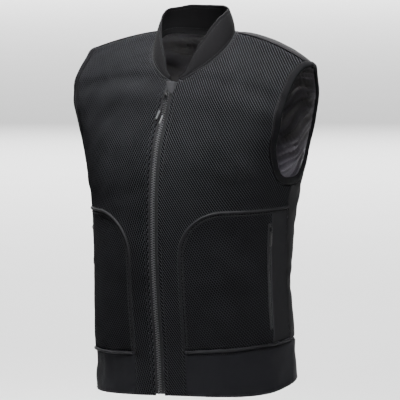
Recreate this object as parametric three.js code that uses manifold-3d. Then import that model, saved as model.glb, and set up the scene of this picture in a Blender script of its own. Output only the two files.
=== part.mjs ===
// A motorcyclist's vest, zipped up and holding the form it has when worn. Millimetres, +Z up.
// The origin is the middle of the neck at the height of the shoulder tops, the front faces -Y and
// the wearer's left is +X. Every seam is given by an angle round the torso and a level down it.

import * as THREE from 'three';
import { mergeVertices } from 'three/addons/utils/BufferGeometryUtils.js';
import Module from 'manifold-3d';

const wasm = await Module();
wasm.setup();

// Driving sizes of the torso.
const LENGTH = 640; // shoulder top to hem
const HALF_WIDTH = 262; // widest half width, over the shoulder tips
const HALF_DEPTH = 149; // deepest half depth, at the chest
const SQUARENESS = 2.35; // 2 is an ellipse, more is squarer

// Neck, shoulders and armholes.
const NECK_HALF_WIDTH = 76;
const NECK_HALF_DEPTH = 69;
const NECK_FORWARD = 7; // middle of the neck ring, forward of the origin
const SHOULDER_REACH = 232;
const SHOULDER_DROP = 50;
const ARMPIT_DEPTH = 257;
const SIDE_SEAM_ANGLE = 100; // at the hem
const BINDING_WIDTH = 14;
const BINDING_PROUD = 0.5;
const ARM_FIT = 0.6; // between the binding and the edges that it meets

// How the worn vest hangs: the lower edge rises to the wearer's left and back.
const HANG_RISE = 4;
const HANG_TILT = 16;
const HANG_TURN = 20;

// Collar.
const COLLAR_HEIGHT = 54;
const COLLAR_LEAN = 14; // the top ring is this much smaller in radius
const COLLAR_WALL = 3;
const NECK_FIT = 0.5; // between the collar and the edges sewn to it

// Cloth.
const MESH_WALL = 2.5;
const BACK_WALL = 2;
const HEM_WALL = 3;
const LINING_WALL = 1.2;
const LINING_SPACE = 2; // between the outer cloth and the lining
const LINING_EDGE = 6; // zip's middle to the lining
const LINING_LIFT = 8; // above the hem
const LINING_SEAM = 4; // the lining's seams are this much looser
const SEAM_GAP = 0.5; // between two panels sewn together
const FIT = 0.3; // between pieces that touch

// Pockets and hem band.
const HEM_BAND_HEIGHT = 76;
const PLACKET_HALF_WIDTH = 52; // zip to the pocket's front edge
const POCKET_HEIGHT = 250;
const POCKET_CORNER = 78;
const POCKET_BULGE = 5;
const PIPING_WIDTH = 5.5;
const PIPING_HEIGHT = 2.6;
const ROLL_RADIUS = 2.6;
const ROLL_PROUD = 3;

// Front zip.
const NECK_FRONT = 86; // depth of the neck at the zip
const ZIP_TOP = 110; // depth of the slider's middle
const ZIP_END = 6; // above the hem
const CHAIN_WIDTH = 6.4;
const CHAIN_HEIGHT = 2.6;
const TAPE_WIDTH = 5.6;
const TAPE_WALL = 1.2;
const TAPE_DEPTH = 0.4; // the tapes' face below the cloth's face
const SLIDER_LENGTH = 11;
const SLIDER_WIDTH = 8.6;
const SLIDER_HEIGHT = 4.6;
const RING_RADIUS = 3.4;
const RING_WIRE = 0.7;
const CORD_RADIUS = 1.1;
const TIP_RADIUS = 1.7;
const TIP_LENGTH = 17;
const GARAGE_WIDTH = 20;
const GARAGE_HEIGHT = 21;
const GARAGE_WALL = 1.6;

// Pocket zips.
const POCKET_ZIP_ANGLE = 70.5;
const POCKET_ZIP_DROP = 26; // top of the zip below the pocket's upper edge
const POCKET_ZIP_LENGTH = 196;
const WELT_WIDTH = 8;
const WELT_HEIGHT = 1.8;
const PULLER_LENGTH = 26;
const PULLER_WIDTH = 5;
const PULLER_HEIGHT = 2.4;
const POCKET_CORD_LENGTH = 22;

// Torso sections: level as a share of LENGTH, half width of HALF_WIDTH, front and back depth of
// HALF_DEPTH. Above the armpit a section is the cut through both shoulders at that level.
const SECTIONS = [
  { level: 0, width: 1, front: -0.228, back: 0.228 },
  { level: -0.006, width: 1, front: -0.074, back: 0.42 },
  { level: -0.027, width: 1, front: 0.054, back: 0.55 },
  { level: -0.069, width: 1, front: 0.289, back: 0.658 },
  { level: -0.089, width: 1, front: 0.383, back: 0.691 },
  { level: -0.106, width: 0.996, front: 0.453, back: 0.711 },
  { level: -0.127, width: 0.989, front: 0.51, back: 0.732 },
  { level: -0.172, width: 0.962, front: 0.671, back: 0.779 },
  { level: -0.234, width: 0.908, front: 0.772, back: 0.832 },
  { level: -0.313, width: 0.824, front: 0.913, back: 0.872 },
  { level: -0.398, width: 0.775, front: 0.98, back: 0.872 },
  { level: -0.469, width: 0.737, front: 1, back: 0.846 },
  { level: -0.547, width: 0.718, front: 1, back: 0.792 },
  { level: -0.625, width: 0.706, front: 0.987, back: 0.752 },
  { level: -0.703, width: 0.702, front: 0.96, back: 0.725 },
  { level: -0.766, width: 0.702, front: 0.933, back: 0.718 },
  { level: -0.844, width: 0.714, front: 0.886, back: 0.765 },
  { level: -0.922, width: 0.721, front: 0.859, back: 0.832 },
  { level: -1, width: 0.725, front: 0.832, back: 0.886 },
];

// Armhole: level as a share of ARMPIT_DEPTH, angles of its front and back edge, underarm first.
const ARMHOLE = [
  { level: -1, front: 88, back: 88 },
  { level: -0.998, front: 82.5, back: 94 },
  { level: -0.982, front: 77, back: 99.5 },
  { level: -0.945, front: 72.5, back: 105 },
  { level: -0.88, front: 68.8, back: 111 },
  { level: -0.79, front: 64.8, back: 117 },
  { level: -0.68, front: 60.8, back: 122.5 },
  { level: -0.57, front: 57.4, back: 126 },
  { level: -0.45, front: 54.2, back: 128 },
  { level: -0.33, front: 52.2, back: 128.5 },
  { level: -0.22, front: 51.5, back: 128.3 },
  { level: -0.125, front: 51.7, back: 127.6 },
  { level: -0.055, front: 53.5, back: 126 },
  { level: -0.015, front: 56, back: 124 },
  { level: 0, front: 58, back: 122 },
];

// Collar: turn from the front of the neck ring, height as a share of COLLAR_HEIGHT.
const COLLAR = [
  { turn: 7, height: 0.06 },
  { turn: 15, height: 0.17 },
  { turn: 22, height: 0.43 },
  { turn: 30, height: 0.63 },
  { turn: 45, height: 0.85 },
  { turn: 60, height: 0.98 },
  { turn: 75, height: 1 },
  { turn: 90, height: 0.9 },
  { turn: 105, height: 0.78 },
  { turn: 120, height: 0.75 },
  { turn: 150, height: 0.86 },
  { turn: 180, height: 0.9 },
];

// The flap over the zip's upper end: depth as a share of GARAGE_HEIGHT, its two edges as shares of
// GARAGE_WIDTH from the zip's middle.
const GARAGE = [
  { depth: 0, right: -0.72, left: 0.28 },
  { depth: 0.5, right: -0.27, left: 0.42 },
  { depth: 0.8, right: 0.05, left: 0.52 },
  { depth: 1, right: 0.3, left: 0.56 },
];

// Soft dents and folds of the outer cloth: where, how wide (degrees, share of LENGTH), how deep.
const FOLDS = [
  { angle: -38, level: -0.17, turn: 9, spread: 0.06, depth: -3 },
  { angle: 40, level: -0.3, turn: 12, spread: 0.08, depth: -3 },
  { angle: 72, level: -0.45, turn: 8, spread: 0.04, depth: -3 },
  { angle: 150, level: -0.33, turn: 12, spread: 0.1, depth: -4 },
  { angle: -150, level: -0.33, turn: 12, spread: 0.1, depth: -4 },
  { angle: 125, level: -0.7, turn: 22, spread: 0.035, depth: -4 },
  { angle: -125, level: -0.7, turn: 22, spread: 0.035, depth: -4 },
  { angle: 180, level: -0.62, turn: 26, spread: 0.04, depth: 3 },
];

// How finely the cloth is divided.
const UNDERARM_ROWS = 2; // between the pocket's upper edge and the underarm
const NECK_STEPS = 6; // zip to shoulder seam
const BACK_NECK_STEPS = 5; // shoulder seam to the middle of the back
const SHOULDER_STEPS = 5;
const LINING_SHOULDER_STEPS = 3;
const LINING_COLUMNS = 6;
const ZIP_STEPS = 18;
const WELT_STEPS = 12;
const BACK_ROWS = 8; // hem band to underarm
const BACK_EVENING = 1.6; // how much closer the back's rows lie towards the shoulders
const BAND_ROWS = 3;
const PLACKET_ROWS = 6; // hem band to the pocket's corner
const CORNER_STEPS = 4;
const EDGE_STEPS = 5; // pocket's corner to the side seam
const STRIP_COLUMNS = 3; // zip to the pocket's edge

const DEGREE = Math.PI / 180;
const HEM = -LENGTH;
const BAND_TOP = HEM + HEM_BAND_HEIGHT;
const POCKET_TOP = BAND_TOP + POCKET_HEIGHT;
const LINING_OUT = -MESH_WALL - LINING_SPACE;
const LINING_IN = LINING_OUT - LINING_WALL;
const ZIP_SIDE = CHAIN_WIDTH / 2 + FIT + TAPE_WIDTH + FIT; // zip's middle to the mesh's edge
const CHAIN_LOW = -TAPE_DEPTH - TAPE_WALL;
const CHAIN_TOP = CHAIN_LOW + CHAIN_HEIGHT;
const CHAIN_END = -ZIP_TOP + SLIDER_LENGTH * 0.4; // the teeth end under the slider
const ZIP_FACE = CHAIN_TOP + 1.5 * FIT; // what lies on the teeth rests here
const ARM_STEPS = ARMHOLE.length - 1;
const PANEL_ROWS = UNDERARM_ROWS + ARM_STEPS - 1;

const clamp = (x, low, high) => Math.min(high, Math.max(low, x));
const ease = (x) => clamp(x, 0, 1) ** 2 * (3 - 2 * clamp(x, 0, 1));
const mix = (a, b, t) => a + (b - a) * t;
const steps = (count) => Array.from({ length: count + 1 }, (_, i) => i / count);

// A smooth monotone curve through pairs of key and value.
function curve(pairs) {
  const [x, y] = [pairs.map((pair) => pair[0]), pairs.map((pair) => pair[1])];
  const slope = x.slice(1).map((end, i) => (y[i + 1] - y[i]) / (end - x[i]));
  const tangent = y.map((_, i) => {
    if (i === 0) return slope[0];
    if (i === y.length - 1) return slope[i - 1];
    const product = slope[i - 1] * slope[i];
    return product <= 0 ? 0 : (2 * product) / (slope[i - 1] + slope[i]);
  });
  return (at) => {
    const p = clamp(at, x[0], x[x.length - 1]);
    let i = 0;
    while (i < x.length - 2 && p > x[i + 1]) i += 1;
    const h = x[i + 1] - x[i];
    const t = (p - x[i]) / h;
    return (1 + 2 * t) * (1 - t) ** 2 * y[i] + t * (1 - t) ** 2 * h * tangent[i]
      + t * t * (3 - 2 * t) * y[i + 1] + t * t * (t - 1) * h * tangent[i + 1];
  };
}

// Sections are joined by the square root of the level, so that the shoulders' crest is round.
function section(value, size) {
  const rooted = curve(SECTIONS.map((row) => [Math.sqrt(-row.level * LENGTH), row[value] * size]));
  return (level) => rooted(Math.sqrt(Math.max(-level, 0)));
}
const widthAt = section('width', HALF_WIDTH);
const frontAt = section('front', HALF_DEPTH);
const backAt = section('back', HALF_DEPTH);
const armLevel = curve(ARMHOLE.map((row, i) => [i, row.level * ARMPIT_DEPTH]));
const armFront = curve(ARMHOLE.map((row, i) => [i, row.front]));
const armBack = curve(ARMHOLE.map((row, i) => [i, row.back]));
const collarHeight = curve(COLLAR.map((row) => [row.turn, row.height * COLLAR_HEIGHT]));

// The torso's outer surface at an angle (0 front, 90 wearer's left) and a level.
function torso(angle, level) {
  const sine = Math.sin(angle * DEGREE);
  const cosine = Math.cos(angle * DEGREE);
  const round = (Math.abs(sine) ** SQUARENESS + Math.abs(cosine) ** SQUARENESS) ** (-1 / SQUARENESS);
  const x = widthAt(level) * round * sine;
  const y = (cosine >= 0 ? -frontAt(level) : -backAt(level)) * round * cosine;
  const out = clamp((Math.abs(x) - NECK_HALF_WIDTH) / (SHOULDER_REACH - NECK_HALF_WIDTH), 0, 1.3);
  const drop = SHOULDER_DROP * out ** 1.5 * ease(1 + level / ARMPIT_DEPTH);
  const low = ease((-level / LENGTH - 0.1875) / 0.6875);
  const hang = (HANG_RISE + HANG_TILT * Math.sin((angle - HANG_TURN) * DEGREE)) * low;
  return new THREE.Vector3(x, y, level - drop + hang);
}

// How the surface point moves per degree and per millimetre of level.
function slopes(angle, level) {
  const step = 0.4;
  const top = Math.min(level + step, 0);
  return [
    torso(angle + step, level).sub(torso(angle - step, level)).divideScalar(2 * step),
    torso(angle, top).sub(torso(angle, level - step)).divideScalar(top - level + step),
  ];
}

function outward(angle, level) {
  const [across, up] = slopes(angle, level);
  return across.cross(up).normalize();
}

// The place reached by a short step over the surface: the one nearest to the step's end.
function moved(place, step) {
  const goal = torso(...place).add(step);
  let [angle, level] = place;
  for (let i = 0; i < 5; i += 1) {
    const [across, up] = slopes(angle, level);
    const rest = goal.clone().sub(torso(angle, level));
    const [aa, au, uu] = [across.dot(across), across.dot(up), up.dot(up)];
    const [sa, su] = [rest.dot(across), rest.dot(up)];
    const size = aa * uu - au * au;
    angle += (sa * uu - su * au) / size;
    level = Math.min(level + (su * aa - sa * au) / size, 0);
  }
  return [angle, level];
}

// A curve of places with a margin to one side of it, measured over the surface.
function beside(path, t, margin, span = 0.25) {
  const place = path(t);
  if (margin === 0) return place;
  const along = torso(...path(t + span)).sub(torso(...path(t - span))).normalize();
  return moved(place, outward(...place).cross(along).multiplyScalar(margin));
}

// The armhole's edge: t runs from the underarm up the front to the shoulder top, and on, to twice
// ARM_STEPS, down the back.
function armhole(t) {
  if (t < 0) return [armBack(-t), armLevel(-t)];
  if (t <= ARM_STEPS) return [armFront(t), armLevel(t)];
  const down = 2 * ARM_STEPS - t;
  return down < 0 ? [armFront(-down), armLevel(-down)] : [armBack(down), armLevel(down)];
}
const armEdge = (t, margin) => beside(armhole, t, margin);
const ARM_MARGIN = BINDING_WIDTH + ARM_FIT;
// The shoulder seam keeps the level at which it meets the binding.
const SHOULDER_SEAM = armEdge(ARM_STEPS - 1, ARM_MARGIN)[1];

function foldDepth(angle, level) {
  let depth = 0;
  for (const fold of FOLDS) {
    const turn = (((angle - fold.angle + 900) % 360) - 180) / fold.turn;
    const rise = (level / LENGTH - fold.level) / fold.spread;
    depth += fold.depth * Math.exp(-turn * turn - rise * rise);
  }
  return depth;
}

// A point in the cloth at a place, with an offset measured outwards.
function cloth([angle, level], offset) {
  return torso(angle, level).addScaledVector(outward(angle, level), offset + foldDepth(angle, level));
}

const degrees = (length, level) => length / widthAt(level) / DEGREE;
const sideSeam = (level) => (
  mix(ARMHOLE[0].front, SIDE_SEAM_ANGLE, (-level - ARMPIT_DEPTH) / (LENGTH - ARMPIT_DEPTH)));

// The place of the surface over a point in plan near the neck.
function placeOver(x, y) {
  const share = Math.abs(x) / HALF_WIDTH;
  const depth = (1 - share ** SQUARENESS) ** (1 / SQUARENESS);
  const behind = y > backAt(0) * depth;
  const half = behind ? backAt : frontAt;
  const want = (behind ? y : -y) / depth;
  let [low, high] = [-ARMPIT_DEPTH, 0];
  for (let i = 0; i < 40; i += 1) {
    const middle = (low + high) / 2;
    if (half(middle) > want) low = middle;
    else high = middle;
  }
  const angle = Math.atan2(share, depth) / DEGREE;
  return [Math.sign(x) * (behind ? 180 - angle : angle), low];
}

function neckPlace(turn, grow) {
  const x = (NECK_HALF_WIDTH + grow) * Math.sin(turn * DEGREE);
  const y = -NECK_FORWARD - (NECK_HALF_DEPTH + grow) * Math.cos(turn * DEGREE);
  return placeOver(x, y);
}

// The turn of the neck ring at which it meets the shoulder seam, and all turns that pieces share.
const SEAM_TURN = (() => {
  let [low, high] = [60, 120];
  for (let i = 0; i < 40; i += 1) {
    const middle = (low + high) / 2;
    if (neckPlace(middle, NECK_FIT)[1] < SHOULDER_SEAM) low = middle;
    else high = middle;
  }
  return low;
})();
const FIRST_TURN = Math.asin(ZIP_SIDE / NECK_HALF_WIDTH) / DEGREE;
const FRONT_TURNS = steps(NECK_STEPS).map((t) => mix(FIRST_TURN, SEAM_TURN, t));
const BACK_TURNS = steps(BACK_NECK_STEPS).map((t) => mix(SEAM_TURN, 180, t));

const group = new THREE.Group();
const FINISH = {
  mesh: { color: 0x242528, roughness: 0.9, metalness: 0 },
  stretch: { color: 0x2e2d2e, roughness: 0.85, metalness: 0 },
  lining: { color: 0x3c3a3e, roughness: 0.55, metalness: 0 },
  zip: { color: 0x55565a, roughness: 0.6, metalness: 0 },
  tape: { color: 0x2b2c2e, roughness: 0.9, metalness: 0 },
  hard: { color: 0x1c1c1e, roughness: 0.4, metalness: 0.2 },
  cord: { color: 0x303134, roughness: 0.9, metalness: 0 },
  tip: { color: 0xb4b5b6, roughness: 0.5, metalness: 0 },
};

function add(name, geometry, finish) {
  const mesh = new THREE.Mesh(geometry, new THREE.MeshStandardMaterial(FINISH[finish]));
  mesh.name = name;
  group.add(mesh);
}

function geometryOf(points, triangles) {
  const geometry = new THREE.BufferGeometry();
  const numbers = points.flatMap((p) => [p.x, p.y, p.z]);
  geometry.setAttribute('position', new THREE.Float32BufferAttribute(numbers, 3));
  geometry.setIndex(triangles.flat());
  geometry.computeVertexNormals();
  return geometry;
}

const offsetAt = (offset, place) => (typeof offset === 'function' ? offset(...place) : offset);

// A closed sheet of cloth: patches are grids of places that share their edges, and the wall lies
// between the outer and the inner offset.
function sheet(patches, outer, inner) {
  const places = [];
  const keys = new Map();
  const faces = [];
  const indexOf = (place) => {
    const key = place.map((value) => value.toFixed(4)).join();
    if (!keys.has(key)) {
      keys.set(key, places.length);
      places.push(place);
    }
    return keys.get(key);
  };
  for (const rows of patches) {
    const grid = rows.map((row) => row.map(indexOf));
    for (let j = 1; j < grid.length; j += 1) {
      for (let i = 1; i < grid[j].length; i += 1) {
        const [a, b, c, d] = [grid[j - 1][i - 1], grid[j - 1][i], grid[j][i], grid[j][i - 1]];
        faces.push([a, b, c], [a, c, d]);
      }
    }
  }
  const outside = places.map((place) => cloth(place, offsetAt(outer, place)));
  const inside = places.map((place) => cloth(place, offsetAt(inner, place)));
  const facing = faces.reduce((sum, [a, b, c]) => {
    const normal = outside[b].clone().sub(outside[a]).cross(outside[c].clone().sub(outside[a]));
    return sum + normal.dot(outside[a].clone().sub(inside[a]));
  }, 0);
  const wound = facing > 0 ? faces : faces.map(([a, b, c]) => [a, c, b]);
  const count = places.length;
  const edges = new Map();
  for (const [a, b, c] of wound) {
    for (const [p, q] of [[a, b], [b, c], [c, a]]) edges.set(`${p},${q}`, [p, q]);
  }
  const triangles = wound.flatMap(([a, b, c]) => [[a, b, c], [a + count, c + count, b + count]]);
  for (const [p, q] of edges.values()) {
    if (!edges.has(`${q},${p}`)) triangles.push([q, p, p + count], [q, p + count, q + count]);
  }
  return geometryOf([...outside, ...inside], triangles);
}

// Turns a closed surface the right way out, by the sign of its volume.
function upright(points, triangles) {
  const volume = triangles.reduce((sum, [a, b, c]) => (
    sum + points[a].dot(points[b].clone().cross(points[c]))), 0);
  return geometryOf(points, volume > 0 ? triangles : triangles.map(([a, b, c]) => [a, c, b]));
}

// A strip with a constant section carried along frames: each frame is a point, a side and an out
// direction, and the section is a list of [side, out] pairs.
function strip(frames, profile) {
  const count = profile.length;
  const points = frames.flatMap(({ point, side, out }) => profile.map(([across, away]) => (
    point.clone().addScaledVector(side, across).addScaledVector(out, away))));
  const triangles = [];
  for (let j = 1; j < frames.length; j += 1) {
    const before = (j - 1) * count;
    for (let i = 0; i < count; i += 1) {
      const next = (i + 1) % count;
      triangles.push([before + i, before + next, j * count + next]);
      triangles.push([before + i, j * count + next, j * count + i]);
    }
  }
  const last = (frames.length - 1) * count;
  for (let i = 2; i < count; i += 1) {
    triangles.push([0, i, i - 1], [last, last + i - 1, last + i]);
  }
  return upright(points, triangles);
}

// Frames that run over the cloth through places, at an offset that may depend on the place.
function framesOver(places, offset) {
  const points = places.map((place) => cloth(place, offsetAt(offset, place)));
  const pick = (i) => points[clamp(i, 0, points.length - 1)];
  return points.map((point, i) => {
    const along = pick(i + 1).clone().sub(pick(i - 1)).normalize();
    const out = outward(...places[i]);
    out.addScaledVector(along, -out.dot(along)).normalize();
    return { point, side: out.clone().cross(along), out };
  });
}

// A flat-backed strip's section with rounded shoulders.
const rounded = (width, low, high) => [
  [-width / 2, low], [width / 2, low], [width / 2, mix(low, high, 0.55)],
  [width / 5, high], [-width / 5, high], [-width / 2, mix(low, high, 0.55)],
];
const circle = (radius, sides) => steps(sides).slice(1).map((t) => (
  [radius * Math.cos(2 * Math.PI * t), radius * Math.sin(2 * Math.PI * t)]));
const mirrored = (side, rows) => rows.map((row) => row.map(([angle, level]) => [side * angle, level]));

// The pocket's edge: up the placket from the hem, round the corner and back to the side seam.
const CORNER_START = BAND_ROWS + PLACKET_ROWS;
const CORNER_MIDDLE = CORNER_START + CORNER_STEPS / 2;
const EDGE_START = CORNER_START + CORNER_STEPS;
const EDGE_END = EDGE_START + EDGE_STEPS;
function pocketLine(t) {
  const foot = POCKET_TOP - POCKET_CORNER;
  if (t <= CORNER_START) {
    const level = t < BAND_ROWS
      ? mix(HEM, BAND_TOP, t / BAND_ROWS)
      : mix(BAND_TOP, foot, (t - BAND_ROWS) / PLACKET_ROWS);
    return [degrees(PLACKET_HALF_WIDTH, level), level];
  }
  const turn = clamp((t - CORNER_START) / CORNER_STEPS, 0, 1) * 90 * DEGREE;
  const across = PLACKET_HALF_WIDTH + POCKET_CORNER * (1 - Math.cos(turn));
  const level = POCKET_TOP - POCKET_CORNER * (1 - Math.sin(turn));
  const end = Math.max(t - EDGE_START, 0) / EDGE_STEPS;
  return [mix(degrees(across, level), sideSeam(POCKET_TOP), end), level];
}
const pocketEdge = (t, margin) => beside(pocketLine, t, margin);

// Blends four edges, given as lists of places, into a grid of places. Away from the sides the rows
// may be evened out, closer together towards the top by the given power.
function blend(bottom, top, left, right, evened = () => 0, power = 1) {
  const [columns, rows] = [bottom.length - 1, left.length - 1];
  return left.map((_, j) => bottom.map((__, i) => {
    const [u, v] = [i / columns, j / rows];
    const even = 1 - (1 - v) ** power;
    return [0, 1].map((k) => {
      const sides = mix(left[j][k], right[j][k], u) + mix(bottom[i][k], top[i][k], v);
      const low = mix(bottom[0][k], bottom[columns][k], u);
      const blended = sides - mix(low, mix(top[0][k], top[columns][k], u), v);
      return mix(blended, mix(bottom[i][k], top[i][k], even), evened(u));
    });
  }));
}

const half = SEAM_GAP / 2;
const middleSeam = (level) => 180 - degrees(half, level);
const count = (from, to) => Array.from({ length: to - from + 1 }, (_, i) => from + i);
const sideEdge = (level, back) => {
  const shift = degrees(half, level) * (back ? 1 : -1);
  return [sideSeam(level) + shift, level];
};

// The front's side edge above the pocket: side seam, then the armhole up to the shoulder seam.
function frontSide(bottom) {
  const under = armEdge(0, ARM_MARGIN)[1];
  const seam = steps(UNDERARM_ROWS).slice(0, -1).map((t) => sideEdge(mix(bottom, under, t), false));
  const corner = [sideEdge(under, false)];
  return [...seam, ...corner, ...count(1, ARM_STEPS - 1).map((t) => armEdge(t, ARM_MARGIN))];
}

// The front's inner edge: up beside the zip, then round the neck to the shoulder seam.
function frontInner(bottom, across) {
  const rows = PANEL_ROWS - NECK_STEPS;
  const neck = FRONT_TURNS.map((turn) => neckPlace(turn, NECK_FIT));
  const zip = steps(rows).slice(0, -1).map((t) => {
    const level = mix(bottom, neck[0][1], t);
    return [degrees(across, level), level];
  });
  return [...zip, ...neck];
}

// The shoulder seam runs just in front of the crest, where the surface is nearly level, so its
// gap is worked out from the surface's slope there.
const [, crestSlope] = slopes(ARMHOLE[ARM_STEPS - 1].front / 2, SHOULDER_SEAM);
const seamShift = half / crestSlope.length();
const shoulderLine = (from, to, parts, shift) => steps(parts).map((t) => [
  mix(from[0], to[0], t), SHOULDER_SEAM + shift]);

// The front panel: an upper patch, and a strip beside the zip that runs down to the hem.
function frontPanel() {
  const edge = count(0, EDGE_END).map((t) => pocketEdge(t, half));
  edge[0][1] = HEM;
  edge[EDGE_END] = sideEdge(POCKET_TOP + half, false);
  const inner = edge.slice(0, CORNER_MIDDLE + 1).map(([, level], t) => {
    const low = mix(HEM, edge[CORNER_MIDDLE][1] + 8, t / CORNER_MIDDLE);
    return [degrees(ZIP_SIDE, low), t < BAND_ROWS + 1 ? level : low];
  });
  const across = (row) => steps(STRIP_COLUMNS).map((u) => [0, 1].map((k) => mix(row[0][k], row[1][k], u)));
  const lower = inner.map((place, t) => across([place, edge[t]]));
  const bottom = [...lower[CORNER_MIDDLE], ...edge.slice(CORNER_MIDDLE + 1)];
  const left = frontInner(inner[CORNER_MIDDLE][1], ZIP_SIDE);
  const right = frontSide(POCKET_TOP + half);
  const top = shoulderLine(left[PANEL_ROWS], right[PANEL_ROWS], bottom.length - 1, -seamShift);
  [left[PANEL_ROWS], right[PANEL_ROWS]] = [top[0], top[top.length - 1]];
  return [lower, blend(bottom, top, left, right)];
}

// How far the pocket stands out, most towards its lower edge.
function pocketBulge(angle, level) {
  const start = degrees(PLACKET_HALF_WIDTH, level);
  const share = (Math.abs(angle) - start) / (sideSeam(level) - start);
  const rise = (level - BAND_TOP) / POCKET_HEIGHT;
  const belly = ease(share / 0.3) * ease((1 - share) / 0.3);
  return POCKET_BULGE * belly * ease((1 - rise) / 0.75) * mix(0.55, 1, ease(rise / 0.2));
}

function pocket() {
  const edge = count(BAND_ROWS, EDGE_END).map((t) => pocketEdge(t, -half));
  const foot = BAND_TOP + ROLL_RADIUS + FIT;
  edge[0][1] = foot;
  edge[edge.length - 1] = sideEdge(POCKET_TOP - half, false);
  const corner = CORNER_MIDDLE - BAND_ROWS;
  const left = edge.slice(0, corner + 1);
  const top = edge.slice(corner);
  const right = steps(corner).map((t) => sideEdge(mix(foot, POCKET_TOP - half, t), false));
  const bottom = steps(top.length - 1).map((t) => [mix(left[0][0], right[0][0], t), foot]);
  return [blend(bottom, top, left, right)];
}

// One half of the back, from the side seam to the middle seam. Beyond the crest of the shoulders its
// levels count upwards, and such a place lies on the front half.
function backHalf(bottom, parts, shift) {
  const under = armEdge(0, ARM_MARGIN)[1];
  const seam = steps(BACK_ROWS).slice(0, -1).map((t) => sideEdge(mix(bottom, under, t), true));
  const over = ([angle, level]) => (angle < 90 ? [180 - angle, -level] : [angle, level]);
  const arm = count(1, ARM_STEPS).map((t) => over(armEdge(2 * ARM_STEPS - t, ARM_MARGIN)));
  const tip = armEdge(ARM_STEPS - 1, ARM_MARGIN);
  const left = [...seam, sideEdge(under, true), ...arm, [180 - tip[0], -SHOULDER_SEAM - shift]];
  const neck = BACK_TURNS.map((turn) => over(neckPlace(turn, NECK_FIT)));
  const shoulder = shoulderLine([180 - tip[0]], neck[0], parts, shift).map(([angle, level]) => (
    [angle, -level]));
  neck[0] = shoulder.pop();
  const top = [...shoulder, ...neck];
  const middle = top[top.length - 1];
  top[top.length - 1] = [middleSeam(middle[1]), middle[1]];
  const rows = left.length - 1;
  const right = left.map((_, j) => {
    const level = mix(bottom, middle[1], 1 - (1 - j / rows) ** BACK_EVENING);
    return [middleSeam(level), level];
  });
  const low = steps(top.length - 1).map((t) => [mix(left[0][0], right[0][0], t), bottom]);
  return blend(low, top, left, right, (u) => ease(2 * u), BACK_EVENING).map((row) => (
    row.map(([angle, level]) => (level > 0 ? [180 - angle, -level] : [angle, level]))));
}

function hemBand() {
  const edge = count(0, BAND_ROWS).map((t) => pocketEdge(t, -half));
  const levels = steps(BAND_ROWS).map((t) => mix(HEM, BAND_TOP - ROLL_RADIUS - FIT, t));
  const around = (2 * (CORNER_STEPS + EDGE_STEPS) + 2) * 2;
  return [levels.map((level, j) => steps(around).map((t) => (
    [mix(edge[j][0], 360 - edge[j][0], t), level])))];
}

// The collar stands in the neck hole and leans inwards. Its front ends run down to the zip.
function collar() {
  const turns = [...FRONT_TURNS, ...BACK_TURNS.slice(1)];
  const all = [...turns, ...turns.slice(0, -1).reverse().map((turn) => 360 - turn)];
  const shares = [0, 0.35, 0.75, 1];
  const rings = all.map((turn) => {
    const reach = turn > 180 ? 360 - turn : turn;
    const [angle, level] = neckPlace(reach, 0);
    const place = [turn > 180 ? -angle : angle, level];
    const foot = cloth(place, 0);
    const root = cloth(place, LINING_IN - FIT);
    const height = collarHeight(reach);
    const way = new THREE.Vector3(Math.sin(turn * DEGREE), -Math.cos(turn * DEGREE), 0);
    const column = (inward) => [root.clone().addScaledVector(way, -inward), ...shares.map((share) => {
      const lean = (COLLAR_LEAN * share * height) / COLLAR_HEIGHT + inward;
      const at = foot.clone().addScaledVector(way, -lean);
      at.z += height * share;
      return at;
    })];
    return [...column(0), ...column(COLLAR_WALL).reverse()];
  });
  const size = rings[0].length;
  const triangles = [];
  for (let j = 1; j < rings.length; j += 1) {
    for (let i = 0; i < size; i += 1) {
      const [a, b] = [(j - 1) * size + i, (j - 1) * size + ((i + 1) % size)];
      triangles.push([a, b, b + size], [a, b + size, a + size]);
    }
  }
  const last = (rings.length - 1) * size;
  for (let i = 1; i < size / 2; i += 1) {
    const [a, b, c, d] = [i - 1, i, size - 1 - i, size - i];
    triangles.push([a, c, b], [a, d, c]);
    triangles.push([last + a, last + b, last + c], [last + a, last + c, last + d]);
  }
  return upright(rings.flat(), triangles);
}

// The binding that folds over the armhole's edge, once round.
function binding() {
  const turns = count(0, 2 * ARM_STEPS).map((t) => t % (2 * ARM_STEPS));
  return [turns.map((t) => [0, 0.5, 1].map((share) => armEdge(t, BINDING_WIDTH * share)))];
}

// Piping that covers the pocket's seam, from the side seam down to the band.
function piping(side) {
  const line = count(BAND_ROWS + 1, EDGE_END).map((t) => pocketEdge(t, 0));
  const places = line.map(([angle, level]) => [side * angle, level]);
  return strip(framesOver(places, 0), rounded(PIPING_WIDTH, FIT, PIPING_HEIGHT));
}

// The roll that closes the pocket's lower edge against the hem band.
function hemRoll(side) {
  const start = pocketEdge(BAND_ROWS, -half)[0] + degrees(ROLL_RADIUS, BAND_TOP);
  const end = sideEdge(BAND_TOP, false)[0];
  const places = steps(CORNER_STEPS + EDGE_STEPS).map((t) => [side * mix(start, end, t), BAND_TOP]);
  const proud = (angle, level) => (ROLL_PROUD * pocketBulge(angle, level)) / POCKET_BULGE;
  return strip(framesOver(places, proud), circle(ROLL_RADIUS, 8));
}

const down = (angle, from, to, parts) => steps(parts).map((t) => [angle, mix(from, to, t)]);
const frontRun = (across, from, to, parts) => steps(parts).map((t) => {
  const level = mix(from, to, t);
  return [degrees(across, level), level];
});

function tape(side) {
  const columns = [CHAIN_WIDTH / 2 + FIT, CHAIN_WIDTH / 2 + FIT + TAPE_WIDTH];
  const rows = frontRun(0, HEM + ZIP_END, -NECK_FRONT - FIT, ZIP_STEPS).map(([, level]) => (
    columns.map((across) => [side * degrees(across, level), level])));
  return sheet([rows], -TAPE_DEPTH, CHAIN_LOW);
}

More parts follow.
